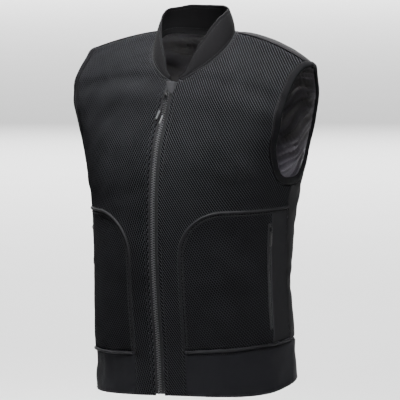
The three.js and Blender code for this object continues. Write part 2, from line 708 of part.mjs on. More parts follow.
// One front half of the lining, hung inside the outer cloth.
function liningFront() {
  const left = frontInner(POCKET_TOP, LINING_EDGE);
  const right = frontSide(POCKET_TOP);
  const columns = LINING_COLUMNS;
  const bottom = steps(columns).map((t) => [mix(left[0][0], right[0][0], t), POCKET_TOP]);
  const top = shoulderLine(left[PANEL_ROWS], right[PANEL_ROWS], columns, -LINING_SEAM * seamShift);
  [left[PANEL_ROWS], right[PANEL_ROWS]] = [top[0], top[columns]];
  const foot = HEM + LINING_LIFT;
  const lower = steps(LINING_COLUMNS).map((t) => {
    const level = mix(foot, POCKET_TOP, t);
    const [near, far] = [degrees(LINING_EDGE, level), sideEdge(level, false)[0]];
    return steps(columns).map((u) => [mix(near, far, u), level]);
  });
  return [lower, blend(lower[LINING_COLUMNS], top, left, right)];
}

// The closed teeth of the front zip, one rounded strip.
function chain() {
  const places = frontRun(0, HEM + ZIP_END, CHAIN_END, ZIP_STEPS);
  return strip(framesOver(places, 0), rounded(CHAIN_WIDTH, CHAIN_LOW, CHAIN_TOP));
}

// A closed mesh as a solid that can be joined to another.
function solid(geometry) {
  const bare = geometry.clone();
  bare.deleteAttribute('normal');
  bare.deleteAttribute('uv');
  const merged = mergeVertices(bare, 1e-4);
  return new wasm.Manifold(new wasm.Mesh({
    numProp: 3,
    vertProperties: new Float32Array(merged.attributes.position.array),
    triVerts: new Uint32Array(merged.index.array),
  }));
}

function joined(first, ...others) {
  const whole = others.reduce((sum, other) => sum.add(solid(other)), solid(first));
  const mesh = whole.getMesh();
  const geometry = new THREE.BufferGeometry();
  geometry.setAttribute('position', new THREE.BufferAttribute(new Float32Array(mesh.vertProperties), 3));
  geometry.setIndex(new THREE.BufferAttribute(new Uint32Array(mesh.triVerts), 1));
  geometry.computeVertexNormals();
  return geometry;
}

// Puts a shape modelled with +Z outwards and +Y upwards on the cloth at a place.
function onCloth(geometry, place, offset) {
  const out = outward(...place);
  const up = slopes(...place)[1].normalize();
  up.addScaledVector(out, -up.dot(out)).normalize();
  const at = new THREE.Matrix4().makeBasis(up.clone().cross(out), up, out);
  return geometry.applyMatrix4(at.setPosition(cloth(place, offset)));
}

function plate(outline, height, bevel) {
  const shape = new THREE.Shape(outline.map(([x, y]) => new THREE.Vector2(x, y)));
  return new THREE.ExtrudeGeometry(shape, {
    depth: height - 2 * bevel, bevelEnabled: bevel > 0, bevelThickness: bevel, bevelSize: bevel,
    bevelOffset: -bevel, bevelSegments: 1, steps: 1,
  }).translate(0, 0, bevel);
}

const BODY_SHARE = 0.55; // a slider's body as a share of its height
const BRIDGE_SHARE = 0.27; // its bridge's radius as a share of its length
const BRIDGE_WIRE = 0.8;

// A slider: a waisted body with a bridge over it that a ring hangs on.
function slider(length, width, height) {
  const [x, y, top] = [width / 2, length / 2, height * BODY_SHARE];
  const body = plate([[-x, y], [-x * 0.8, -y], [x * 0.8, -y], [x, y]], top, 0.6);
  const bridge = new THREE.TorusGeometry(length * BRIDGE_SHARE, BRIDGE_WIRE, 6, 10)
    .rotateY(Math.PI / 2).translate(0, 0, top);
  return joined(body, bridge);
}

// The two cords of the front pull, chosen by hand: across the zip, below the slider's middle, and
// lifted off the cloth.
const CORD_A = [
  [-1.5, -9.4, 2.2], [-3.2, -13, 1.2], [-5.4, -17.5, 0.3], [-7.6, -23, 0], [-9.4, -28, 0], [-11, -33, 0],
];
const CORD_B = [
  [1.5, -9.4, 2.2], [2, -13.5, 1.2], [1.6, -19, 0.3], [0.4, -25, 0], [-1, -31, 0], [-2.2, -36, 0],
  [-3, -41, 0],
];

// A round cord that lies on the cloth along route points.
function lyingCord(points, radius, rest) {
  const places = points.map(([across, below]) => {
    const level = -ZIP_TOP + below;
    return [degrees(across, level), level];
  });
  const lift = (_, level) => {
    const i = places.findIndex((place) => place[1] === level);
    return rest + radius + points[i][2];
  };
  return strip(framesOver(places, lift), circle(radius, 8));
}

function frontPull() {
  const place = [0, -ZIP_TOP];
  const body = slider(SLIDER_LENGTH, SLIDER_WIDTH, SLIDER_HEIGHT);
  add('front_zip_slider', onCloth(body, place, ZIP_FACE), 'hard');
  const ring = new THREE.TorusGeometry(RING_RADIUS, RING_WIRE, 6, 14);
  const through = SLIDER_HEIGHT * BODY_SHARE + RING_WIRE + FIT;
  ring.translate(0, -RING_RADIUS, through);
  add('front_pull_ring', onCloth(ring, place, ZIP_FACE), 'hard');
  for (const [name, points] of [['a', CORD_A], ['b', CORD_B]]) {
    const [before, foot] = points.slice(-2);
    const run = Math.hypot(foot[0] - before[0], foot[1] - before[1]);
    const tip = [FIT, TIP_LENGTH / 2, TIP_LENGTH].map((length) => (
      [0, 1, 2].map((k) => foot[k] + ((foot[k] - before[k]) * length) / run)));
    const rest = ZIP_FACE + TIP_RADIUS - CORD_RADIUS;
    add(`front_pull_cord_${name}`, lyingCord(points, CORD_RADIUS, rest), 'cord');
    add(`front_pull_tip_${name}`, lyingCord(tip, TIP_RADIUS, ZIP_FACE), 'tip');
  }
}

// The small flap that covers the zip's upper end.
function garage() {
  const rows = GARAGE.map(({ depth, right, left }) => steps(2).map((t) => {
    const level = -NECK_FRONT - depth * GARAGE_HEIGHT;
    return [degrees(mix(right, left, t) * GARAGE_WIDTH, level), level];
  }));
  return sheet([rows.reverse()], FIT + GARAGE_WALL, FIT);
}

// A pocket's zip: a raised welt with the closed teeth in it, a slider, its puller and cord.
function pocketZip(side, name) {
  const top = POCKET_TOP - POCKET_ZIP_DROP;
  const angle = side * POCKET_ZIP_ANGLE;
  const face = (over) => (_, level) => pocketBulge(POCKET_ZIP_ANGLE, level) + FIT + over;
  const welt = down(angle, top, top - POCKET_ZIP_LENGTH, WELT_STEPS);
  const raised = rounded(WELT_WIDTH, 0, WELT_HEIGHT);
  add(`pocket_zip_${name}`, strip(framesOver(welt, face(0)), raised), 'tape');
  const head = top - SLIDER_LENGTH;
  const below = (level, length) => {
    const [, up] = slopes(angle, level);
    return moved([angle, level], up.normalize().multiplyScalar(-length))[1];
  };
  const under = below(head, SLIDER_LENGTH / 2 + FIT);
  const tail = below(under, PULLER_LENGTH + FIT);
  const lift = face(WELT_HEIGHT + FIT)(angle, tail);
  const body = slider(SLIDER_LENGTH * 0.9, SLIDER_WIDTH * 0.8, SLIDER_HEIGHT);
  add(`pocket_zip_slider_${name}`, onCloth(body, [angle, head], lift), 'hard');
  const [x, y] = [PULLER_WIDTH / 2, PULLER_LENGTH];
  const puller = plate([[-x, 0], [-x * 0.8, -y], [x * 0.8, -y], [x, 0]], PULLER_HEIGHT, 0.5);
  add(`pocket_zip_puller_${name}`, onCloth(puller, [angle, under], lift + FIT), 'hard');
  const end = tail - POCKET_CORD_LENGTH;
  const above = face(WELT_HEIGHT + FIT + TIP_RADIUS);
  const cord = framesOver(down(angle, tail, end, 5), above);
  add(`pocket_pull_cord_${name}`, strip(cord, circle(CORD_RADIUS, 8)), 'cord');
  const tip = framesOver(down(angle, end - FIT, end - FIT - TIP_LENGTH * 0.7, 2), above);
  add(`pocket_pull_tip_${name}`, strip(tip, circle(TIP_RADIUS, 8)), 'tip');
}

for (const [side, name] of [[1, 'left'], [-1, 'right']]) {
  const rows = (patches) => patches.map((patch) => mirrored(side, patch));
  add(`front_panel_${name}`, sheet(rows(frontPanel()), 0, -MESH_WALL), 'mesh');
  const under = (angle, level) => pocketBulge(angle, level) - MESH_WALL;
  add(`pocket_${name}`, sheet(rows(pocket()), pocketBulge, under), 'mesh');
  add(`pocket_piping_${name}`, piping(side), 'stretch');
  add(`pocket_hem_roll_${name}`, hemRoll(side), 'stretch');
  add(`armhole_binding_${name}`, sheet(rows(binding()), BINDING_PROUD, LINING_IN), 'stretch');
  add(`lining_front_${name}`, sheet(rows(liningFront()), LINING_OUT, LINING_IN), 'lining');
  add(`front_zip_tape_${name}`, tape(side), 'tape');
  const back = backHalf(BAND_TOP + FIT, SHOULDER_STEPS, seamShift);
  add(`back_panel_${name}`, sheet(rows([back]), 0, -BACK_WALL), 'stretch');
  const backLining = backHalf(HEM + LINING_LIFT, LINING_SHOULDER_STEPS, LINING_SEAM * seamShift);
  add(`lining_back_${name}`, sheet(rows([backLining]), LINING_OUT, LINING_IN), 'lining');
}
add('front_zip_chain', chain(), 'zip');
frontPull();
add('zip_garage', garage(), 'stretch');
pocketZip(1, 'left');
pocketZip(-1, 'right');
add('hem_band', sheet(hemBand(), 0, -HEM_WALL), 'stretch');
add('collar', collar(), 'stretch');

export default group;
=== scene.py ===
"""A motorcyclist's sleeveless mesh vest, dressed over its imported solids.

Every cloth piece lies on one torso surface. A place on it is a pair: the turn round the torso in
degrees (0 front, 90 wearer's left, 180 back) and the root, the square root of the depth in
millimetres below the shoulders' crest. A negative root lies past the crest on the other half, so
a piece may run over the shoulder without a break. Sizes are in millimetres and meshes in metres.
"""

import logging
from dataclasses import dataclass, field
from enum import Enum
from functools import reduce
from typing import Callable, Sequence

import bpy
import numpy as np
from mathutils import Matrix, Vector


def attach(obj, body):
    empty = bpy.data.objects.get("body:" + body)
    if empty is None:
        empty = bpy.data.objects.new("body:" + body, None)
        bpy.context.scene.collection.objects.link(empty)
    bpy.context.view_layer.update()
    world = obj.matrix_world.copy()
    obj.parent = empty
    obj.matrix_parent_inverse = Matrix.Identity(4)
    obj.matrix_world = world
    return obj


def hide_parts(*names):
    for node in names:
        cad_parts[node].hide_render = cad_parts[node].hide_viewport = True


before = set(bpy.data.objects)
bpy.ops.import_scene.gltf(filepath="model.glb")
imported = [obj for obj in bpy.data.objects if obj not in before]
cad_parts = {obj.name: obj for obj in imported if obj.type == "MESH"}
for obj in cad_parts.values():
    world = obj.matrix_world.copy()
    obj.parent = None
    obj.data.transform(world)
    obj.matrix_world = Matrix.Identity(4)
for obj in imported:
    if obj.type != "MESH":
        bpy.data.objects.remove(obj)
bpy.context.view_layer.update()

Array = np.ndarray
Place = tuple[Array, Array]
Tone = tuple[float, float, float]
MM = 0.001
# A strip's pattern is never narrower than this, with the part that is sewn under, in metres.
LEAST_WIDTH = 0.014
# A pattern's rectangle holds its area with this share to spare, rounded up to whole millimetres.
FLAT_SPARE = 1.002
HALF_STEP = 0.0005
# Steps of the two searches by halving, for the shoulder seam's turn and the neck's depth.
SEAM_HALVINGS = 40
NECK_HALVINGS = 44
log = logging.getLogger("vest")


class Side(Enum):
    """The wearer's two sides, with the sign of X on each."""

    LEFT = 1
    RIGHT = -1

    @property
    def word(self) -> str:
        """The side's word in a piece's name."""
        return self.name.lower()


# ------------------------------------------------------------------------------ arithmetic


def ease(x: Array) -> Array:
    """A smooth step: 3x squared less 2x cubed, between 0 and 1."""
    t = np.clip(x, 0, 1)
    return t * t * (3 - 2 * t)


def mix(a: Array, b: Array, t: Array) -> Array:
    """The value a share t of the way from a to b."""
    return a + (b - a) * t


def unit(v: Array) -> Array:
    """Vectors of length 1 along v."""
    return v / np.maximum(np.linalg.norm(v, axis=-1, keepdims=True), 1e-9)


def bell(x: Array, middle: float, spread: float) -> Array:
    """A bell of height 1: e to the minus square of the distance from its middle."""
    return np.exp(-((x - middle) / spread) ** 2)


def circle(sides: int) -> Array:
    """Angles spaced evenly once round a circle, in radians."""
    return np.arange(sides) / sides * 2 * np.pi


def turn_from(angle: Array, middle: Array) -> Array:
    """The signed turn from a middle to an angle, between -180 and 180 degrees."""
    return (angle - middle + 900) % 360 - 180


def cumulative(points: Array) -> Array:
    """Lengths along a line of points, from 0."""
    return np.concatenate([[0], np.cumsum(np.linalg.norm(np.diff(points, axis=0), axis=-1))])


def read_off(at: Array, run: Array, values: Array) -> Array:
    """The values of a line's points, (n, 3), read off at lengths along it."""
    return np.stack([np.interp(at, run, values[:, k]) for k in range(3)], -1)


class Curve:
    """A smooth monotone curve: cubics between keys, their slopes harmonic means of both sides."""

    def __init__(self, keys: Sequence[float], values: Sequence[float]) -> None:
        """Works out the slopes.

        Args:
            keys: rising places.
            values: the curve's value at each."""
        self.x, self.y = np.asarray(keys, float), np.asarray(values, float)
        slope = np.diff(self.y) / np.diff(self.x)
        product = slope[:-1] * slope[1:]
        total = np.where(product > 0, slope[:-1] + slope[1:], 1)
        inner = np.where(product > 0, 2 * product / total, 0)
        self.tangent = np.concatenate([slope[:1], inner, slope[-1:]])

    def __call__(self, at: Array) -> Array:
        """The curve's value at each place."""
        p = np.clip(at, self.x[0], self.x[-1])
        i = np.clip(np.searchsorted(self.x, p) - 1, 0, len(self.x) - 2)
        h = self.x[i + 1] - self.x[i]
        t = (p - self.x[i]) / h
        return ((1 + 2 * t) * (1 - t) ** 2 * self.y[i] + t * (1 - t) ** 2 * h * self.tangent[i]
                + t * t * (3 - 2 * t) * self.y[i + 1] + t * t * (t - 1) * h * self.tangent[i + 1])


def waves(points: Array, wavelength: float, seed: int, parts: int = 14) -> Array:
    """Smooth unevenness from about -1 to 1: a sum of sines in seeded directions.

    Args:
        points: where, in millimetres.
        wavelength: the middle wavelength in millimetres.
        seed: which set of directions.
        parts: how many sines are added.
    Returns:
        one value for each point."""
    draw = np.random.default_rng(seed)
    way = unit(draw.normal(size=(parts, 3)))
    length = wavelength * draw.uniform(0.7, 1.5, parts)
    phase = draw.uniform(0, 2 * np.pi, parts)
    angle = points @ (way * (2 * np.pi / length[:, None])).T + phase
    return np.sin(angle).sum(-1) / np.sqrt(parts * 1.6)


# ------------------------------------------------------------------------------ torso surface

# Level as a share of the length, half width, front and back depth as shares of their sizes.
SECTIONS = np.array([
    (0, 1, -0.228, 0.228), (-0.006, 1, -0.074, 0.42), (-0.027, 1, 0.054, 0.55),
    (-0.069, 1, 0.289, 0.658), (-0.089, 1, 0.383, 0.691), (-0.106, 0.996, 0.453, 0.711),
    (-0.127, 0.989, 0.51, 0.732), (-0.172, 0.962, 0.671, 0.779), (-0.234, 0.908, 0.772, 0.832),
    (-0.313, 0.824, 0.913, 0.872), (-0.398, 0.775, 0.98, 0.872), (-0.469, 0.737, 1, 0.846),
    (-0.547, 0.718, 1, 0.792), (-0.625, 0.706, 0.987, 0.752), (-0.703, 0.702, 0.96, 0.725),
    (-0.766, 0.702, 0.933, 0.718), (-0.844, 0.714, 0.886, 0.765), (-0.922, 0.721, 0.859, 0.832),
    (-1, 0.725, 0.832, 0.886)])
# Armhole from the underarm up: level as a share of its depth, turn of the front and back edge.
ARMHOLE = np.array([
    (-1, 88, 88), (-0.998, 82.5, 94), (-0.982, 77, 99.5), (-0.945, 72.5, 105), (-0.88, 68.8, 111),
    (-0.79, 64.8, 117), (-0.68, 60.8, 122.5), (-0.57, 57.4, 126), (-0.45, 54.2, 128),
    (-0.33, 52.2, 128.5), (-0.22, 51.5, 128.3), (-0.125, 51.7, 127.6), (-0.055, 53.5, 126),
    (-0.015, 56, 124), (0, 58, 122)])
# The wearer's right armhole's front edge lies further out near the shoulder, as it is worn.
RIGHT_FRONT = (88, 82.5, 77, 72.5, 68.8, 65, 61.6, 59.4, 58, 57.4, 57.2, 57.1, 57, 57.2, 58)
# Soft dents: turn, level share, half turn, half spread, depth.
DENTS = np.array([
    (-56, -0.085, 24, 0.09, 8), (64, -0.05, 20, 0.07, 5),
    (-38, -0.17, 9, 0.06, -3), (40, -0.3, 12, 0.08, -3), (72, -0.45, 8, 0.04, -3),
    (150, -0.33, 12, 0.1, -4), (-150, -0.33, 12, 0.1, -4), (125, -0.7, 22, 0.035, -4),
    (-125, -0.7, 22, 0.035, -4), (180, -0.62, 26, 0.04, 3)])


# The cloth's unevenness: wavelength, share of the height, and shift of the seed.
UNEVEN = ((46, 1.0, 0), (17, 0.4, 50))
# Puckers by the seams: the same, and the length over which they fade.
PUCKERS = ((9, 1.0, 90, 7), (23, 0.5, 91, 14))
# The sampled lengths on the torso: places per degree of turn, places per unit of root, the lowest
# root, and how many of each.
MAP_TURNS, MAP_ROOTS, MAP_FOOT = 2, 10, -6
MAP_COLUMNS, MAP_ROWS = 361, 321


@dataclass(frozen=True)
class Crease:
    """One soft fold of the outer cloth: a ridge with a valley on each side, or the reverse. Its
    middle's turn and level, its tilt in degrees, half length, half width and height."""

    turn: float
    level: float
    tilt: float
    reach: float
    width: float
    height: float


CREASES = tuple(Crease(*row) for row in (
    (-44, -118, 62, 48, 13, 1.5), (-30, -150, 40, 52, 15, -1.4), (48, -235, -35, 46, 13, 1.7),
    (38, -262, -24, 58, 15, -1.6), (60, -285, -18, 40, 11, 1.3), (22, -205, 74, 70, 18, 1.1),
    (-58, -268, 30, 42, 12, 1.5), (-20, -285, 12, 60, 17, -1.2), (30, -70, 50, 34, 12, 1.0),
    (-34, -66, -52, 36, 12, 1.1), (88, -330, -14, 30, 9, 1.3), (92, -372, -10, 36, 11, -1.4),
    (112, -300, 28, 52, 13, 1.9), (124, -345, 16, 60, 15, -1.8), (104, -440, 10, 54, 12, 1.8),
    (118, -475, -8, 60, 13, -1.7), (-112, -300, -28, 52, 13, 1.9),
    (-124, -345, -16, 60, 15, -1.8), (-106, -445, -12, 54, 12, 1.8),
    (-120, -480, 8, 60, 13, -1.7), (150, -430, 6, 80, 14, 1.9), (178, -460, -4, 90, 15, -2.0),
    (-152, -420, -7, 80, 14, 1.8), (165, -500, 3, 80, 13, 1.6), (-165, -512, -5, 76, 13, -1.6),
    (142, -150, 68, 70, 17, 1.5), (-142, -150, -68, 70, 17, 1.5),
    (160, -240, 55, 60, 16, -1.3), (-158, -246, -58, 60, 16, -1.3)))


@dataclass
class Torso:
    """The outer surface that the worn vest takes."""

    length: float = 640.0
    half_width: float = 262.0
    half_depth: float = 149.0
    squareness: float = 2.35
    neck_half_width: float = 76.0
    neck_half_depth: float = 69.0
    neck_forward: float = 7.0
    shoulder_reach: float = 232.0
    shoulder_drop: float = 50.0
    armpit_depth: float = 257.0
    side_turn: float = 100.0
    hang_rise: float = 4.0
    hang_tilt: float = 16.0
    hang_turn: float = 20.0
    binding_width: float = 14.0
    arm_fit: float = 0.6
    hang_start: float = 0.1875
    hang_span: float = 0.6875
    hem_sag: float = 11.0
    sag_turn: float = 62.0
    sag_spread: float = 42.0
    sag_start: float = 572.0
    sag_rise: float = 68.0
    high_shoulder: float = 0.84
    low_shoulder: float = 0.14
    past_limit: float = 1.3
    front_edge: tuple[float, ...] = tuple(ARMHOLE[:, 1])
    seam_root: float = 0.0

    def __post_init__(self) -> None:
        """Joins the tables into curves and finds where the shoulder seam meets the neck."""
        keys = np.sqrt(-SECTIONS[:, 0] * self.length)
        self.width = Curve(keys, SECTIONS[:, 1] * self.half_width)
        self.front = Curve(keys, SECTIONS[:, 2] * self.half_depth)
        self.back = Curve(keys, SECTIONS[:, 3] * self.half_depth)
        self.arm_steps = len(ARMHOLE) - 1
        rows = np.arange(self.arm_steps + 1)
        self.arm_level = Curve(rows, ARMHOLE[:, 0] * self.armpit_depth)
        self.arm_front = Curve(rows, self.front_edge)
        self.arm_back = Curve(rows, ARMHOLE[:, 2])
        margin = self.binding_width + self.arm_fit
        if not self.seam_root:
            self.seam_root = float(self.arm_edge(np.array([self.arm_steps - 1.0]), margin)[1][0])
        low, high = 60.0, 120.0
        for _ in range(SEAM_HALVINGS):
            middle = (low + high) / 2
            root = self.neck(np.array([middle]), 0.5)[1][0]
            low, high = (middle, high) if root > self.seam_root else (low, middle)
        self.seam_turn = low

    @staticmethod
    def angle(turn: Array, root: Array, side: int) -> Array:
        """The angle round the torso of a place that may lie past the crest or be mirrored."""
        return np.where(root < 0, 180 - turn, turn) * side

    def point(self, turn: Array, root: Array, side: int = 1) -> Array:
        """The surface point of a place: a squared ellipse in plan, lowered towards the shoulder
        tips by a power of the distance past the neck, less so on the wearer's right; towards the
        hem tilted to one side, with a bell-shaped sag at the wearer's left.

        Args:
            turn: degrees round the torso.
            root: signed root of the depth.
            side: 1, or -1 for the mirrored place.
        Returns:
            points in millimetres."""
        turn, root = np.broadcast_arrays(np.asarray(turn, float), np.asarray(root, float))
        angle = self.angle(turn, root, side)
        deep, level = np.abs(root), -root * root
        sine, cosine = np.sin(np.radians(angle)), np.cos(np.radians(angle))
        n = self.squareness
        size = (np.abs(sine) ** n + np.abs(cosine) ** n) ** (-1 / n)
        x = self.width(deep) * size * sine
        y = np.where(cosine >= 0, -self.front(deep), -self.back(deep)) * size * cosine
        past = (np.abs(x) - self.neck_half_width) / (self.shoulder_reach - self.neck_half_width)
        past = np.clip(past, 0, self.past_limit)
        drop = self.shoulder_drop * past ** 1.5 * ease(1 + level / self.armpit_depth)
        drop = drop * np.where(x < 0, self.high_shoulder, 1 + self.low_shoulder * past ** 2)
        sag = self.hem_sag * bell(turn_from(angle, self.sag_turn), 0, self.sag_spread)
        drop = drop + sag * ease((-level - self.sag_start) / self.sag_rise)
        low = ease((-level / self.length - self.hang_start) / self.hang_span)
        tilt = self.hang_tilt * np.sin(np.radians(angle - self.hang_turn))
        return np.stack([x, y, level - drop + (self.hang_rise + tilt) * low], -1)

    def slopes(self, turn: Array, root: Array, side: int = 1) -> tuple[Array, Array]:
        """How the surface moves per degree of turn, and upwards per unit of root."""
        across = (self.point(turn + 0.2, root, side) - self.point(turn - 0.2, root, side)) / 0.4
        up = (self.point(turn, root - 0.02, side) - self.point(turn, root + 0.02, side)) / 0.04
        return across, up

    def outward(self, turn: Array, root: Array, side: int = 1) -> Array:
        """The surface's unit normal, away from the wearer."""
        across, up = self.slopes(turn, root, side)
        return unit(np.cross(across, up)) * side

    def dents(self, turn: Array, root: Array, side: int = 1) -> Array:
        """The depth of the soft dents at a place, a sum of bell curves."""
        angle = self.angle(turn, root, side)[..., None]
        level = (-root * root / self.length)[..., None]
        across = turn_from(angle, DENTS[:, 0]) / DENTS[:, 2]
        rise = (level - DENTS[:, 1]) / DENTS[:, 3]
        return (DENTS[:, 4] * np.exp(-across ** 2 - rise ** 2)).sum(-1)

    def creases(self, turn: Array, root: Array, side: int = 1) -> Array:
        """The height of the folds: for each, a bell less its own curvature across the fold, times
        a bell along it."""
        angle = self.angle(turn, root, side)
        level = -root * root
        total = np.zeros(np.shape(angle))
        for fold in CREASES:
            wide = float(self.width(np.sqrt(-fold.level)))
            across = np.radians(turn_from(angle, fold.turn)) * wide * 0.95
            rise = level - fold.level
            cosine, sine = np.cos(np.radians(fold.tilt)), np.sin(np.radians(fold.tilt))
            along = (across * cosine + rise * sine) / fold.reach
            off = (rise * cosine - across * sine) / fold.width
            total += fold.height * (1 - off * off) * np.exp(-off * off * 0.9 - along ** 2)
        return total

    def cloth(self, turn: Array, root: Array, offset: Array, side: int = 1) -> Array:
        """The point at an offset outwards from the dented surface at a place."""
        lift = np.asarray(offset + self.dents(turn, root, side))
        return self.point(turn, root, side) + self.outward(turn, root, side) * lift[..., None]

    def folded(self, turn: Array, root: Array, offset: Array, side: int = 1) -> Place:
        """Points at an offset from the folded cloth's face, and the outward directions there."""
        lift = offset + self.creases(turn, root, side)
        return self.cloth(turn, root, lift, side), self.outward(turn, root, side)

    def degrees(self, length: Array, root: Array) -> Array:
        """The turn of a short length across the front at a depth."""
        return np.degrees(length / self.width(np.abs(root)))

    def side_seam(self, root: Array) -> Array:
        """The turn of the side seam, straight from the underarm to the hem."""
        share = (root * root - self.armpit_depth) / (self.length - self.armpit_depth)
        return mix(ARMHOLE[0, 1], self.side_turn, share)

    def moved(self, turn: Array, root: Array, step: Array) -> Place:
        """The place nearest to the end of a short step from a place, by Gauss-Newton steps."""
        goal = self.point(turn, root) + step
        for _ in range(6):
            across, up = self.slopes(turn, root)
            rest = goal - self.point(turn, root)
            aa, au, uu = (across * across).sum(-1), (across * up).sum(-1), (up * up).sum(-1)
            sa, su = (rest * across).sum(-1), (rest * up).sum(-1)
            size = aa * uu - au * au
            turn = turn + (sa * uu - su * au) / size
            root = root - (su * aa - sa * au) / size
        return turn, root

    def beside(self, path: Callable[[Array], Place], t: Array, margin: Array,
               span: float = 0.25) -> Place:
        """A path of places with a margin to one side, measured over the surface."""
        turn, root = path(t)
        along = unit(self.point(*path(t + span)) - self.point(*path(t - span)))
        step = np.cross(self.outward(turn, root), along) * np.asarray(margin)[..., None]
        return self.moved(turn, root, step)

    def armhole(self, t: Array) -> Place:
        """The armhole's edge: t runs up the front to the shoulder top at arm_steps, and down the
        back to twice that."""
        t = np.mod(t, 2 * self.arm_steps)
        behind = t > self.arm_steps
        row = np.where(behind, 2 * self.arm_steps - t, t)
        root = np.sqrt(np.maximum(-self.arm_level(row), 0))
        return (np.where(behind, 180 - self.arm_back(row), self.arm_front(row)),
                np.where(behind, -root, root))

    def arm_edge(self, t: Array, margin: Array) -> Place:
        """The armhole's edge with a margin into the cloth."""
        return self.beside(self.armhole, t, np.broadcast_to(margin, np.shape(t)))

    def neck(self, ring: Array, grow: float) -> Place:
        """The place over a turn of the neck ring, an ellipse in plan grown by a margin."""
        x = (self.neck_half_width + grow) * np.sin(np.radians(ring))
        y = -self.neck_forward - (self.neck_half_depth + grow) * np.cos(np.radians(ring))
        share = np.abs(x) / self.half_width
        depth = (1 - share ** self.squareness) ** (1 / self.squareness)
        behind = y > self.back(0) * depth
        want = np.where(behind, y, -y) / depth
        low, high = np.zeros(np.shape(x)), np.full(np.shape(x), np.sqrt(self.armpit_depth))
        for _ in range(NECK_HALVINGS):
            middle = (low + high) / 2
            over = np.where(behind, self.back(middle), self.front(middle)) > want
            low, high = np.where(over, low, middle), np.where(over, middle, high)
        return np.degrees(np.arctan2(share, depth)), np.where(behind, -low, low)


# ------------------------------------------------------------------------------ meshes


def upright(points: Array, faces: Array) -> Array:
    """The faces of a closed surface, turned so that its volume is positive."""
    a, b, c = points[faces[:, 0]], points[faces[:, 1]], points[faces[:, 2]]
    volume = (a * np.cross(b, c)).sum()
    if faces.shape[1] == 4:
        volume += (a * np.cross(c, points[faces[:, 3]])).sum()
    return faces if volume > 0 else faces[:, ::-1]


@dataclass
class Surface:
    """A mesh in the making: points in millimetres, faces of four corners, the cloth's own
    coordinates in metres and values for each point."""

    points: Array
    quads: Array
    cloth_uv: Array
    values: dict[str, Array] = field(default_factory=dict)
    triangles: Array = field(default_factory=lambda: np.zeros((0, 3), int))

    def joined(self, other: "Surface") -> "Surface":
        """Both surfaces as one mesh."""
        shift = len(self.points)
        values = {name: np.concatenate([part.values.get(name, np.zeros(len(part.points)))
                                        for part in (self, other)])
                  for name in sorted({*self.values, *other.values})}
        return Surface(np.concatenate([self.points, other.points]),
                       np.concatenate([self.quads, other.quads + shift]),
                       np.concatenate([self.cloth_uv, other.cloth_uv]), values,
                       np.concatenate([self.triangles, other.triangles + shift]))

    def build(self, name: str, material: bpy.types.Material, slot: str,
              replaces: Sequence[str] = (), sharp: float = 50.0) -> bpy.types.Object:
        """Makes the mesh object, rides it on the one body and hides the solids that it stands for.

        Args:
            name: the piece's name.
            material: its finish.
            slot: the material slot's name; not used.
            replaces: the solids that it stands for.
            sharp: edges bent more than this many degrees are shown sharp.
        Returns:
            the object."""
        mesh = bpy.data.meshes.new(name)
        loops = np.concatenate([self.quads.ravel(), self.triangles.ravel()]).astype(np.int32)
        starts = np.concatenate([np.arange(len(self.quads)) * 4,
                                 len(self.quads) * 4 + np.arange(len(self.triangles)) * 3])
        mesh.vertices.add(len(self.points))
        mesh.vertices.foreach_set("co", (self.points * MM).astype(np.float32).ravel())
        mesh.loops.add(len(loops))
        mesh.loops.foreach_set("vertex_index", loops)
        mesh.polygons.add(len(starts))
        mesh.polygons.foreach_set("loop_start", starts.astype(np.int32))
        layer = mesh.uv_layers.new(name="cloth")
        layer.data.foreach_set("uv", self.cloth_uv[loops].astype(np.float32).ravel())
        for key, value in self.values.items():
            made = mesh.attributes.new(key, "FLOAT", "POINT")
            made.data.foreach_set("value", np.asarray(value, np.float32))
        mesh.update(calc_edges=True)
        mesh.shade_smooth()
        mesh.set_sharp_from_angle(angle=np.radians(sharp))
        mesh.materials.append(material)
        made = bpy.data.objects.new(name, mesh)
        bpy.context.scene.collection.objects.link(made)
        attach(made, "root")
        if replaces:
            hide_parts(*replaces)
        log.info("%s: %d faces", name, len(starts))
        return made

    def build_sheet(self, name: str, material: bpy.types.Material, slot: str,
                    replaces: Sequence[str], rests_on: str, sharp: float = 50.0) -> None:
        """Args:
            name: the piece's name.
            material: its finish.
            slot: the material slot's name, handed on to build.
            replaces: the solids that it stands for.
            rests_on: the piece that it hangs from; not used.
            sharp: edges bent more than this many degrees are shown sharp."""
        made = self.build(name, material, slot, replaces, sharp)
        points = self.points * MM
        a = points[self.quads[:, 2]] - points[self.quads[:, 0]]
        b = points[self.quads[:, 3]] - points[self.quads[:, 1]]
        area = float(np.linalg.norm(np.cross(a, b), axis=1).sum() / 4)
        size = np.ptp(self.cloth_uv, axis=0)
        grow = max(1.0, np.sqrt(area / (size[0] * size[1]) * FLAT_SPARE))
        flat = (max(LEAST_WIDTH, round(float(size[0] * grow) + HALF_STEP, 3)),
                max(LEAST_WIDTH, round(float(size[1] * grow) + HALF_STEP, 3)))
        log.info("%s: flat %.3f x %.3f m, area %.4f m2", made.name, *flat, area)


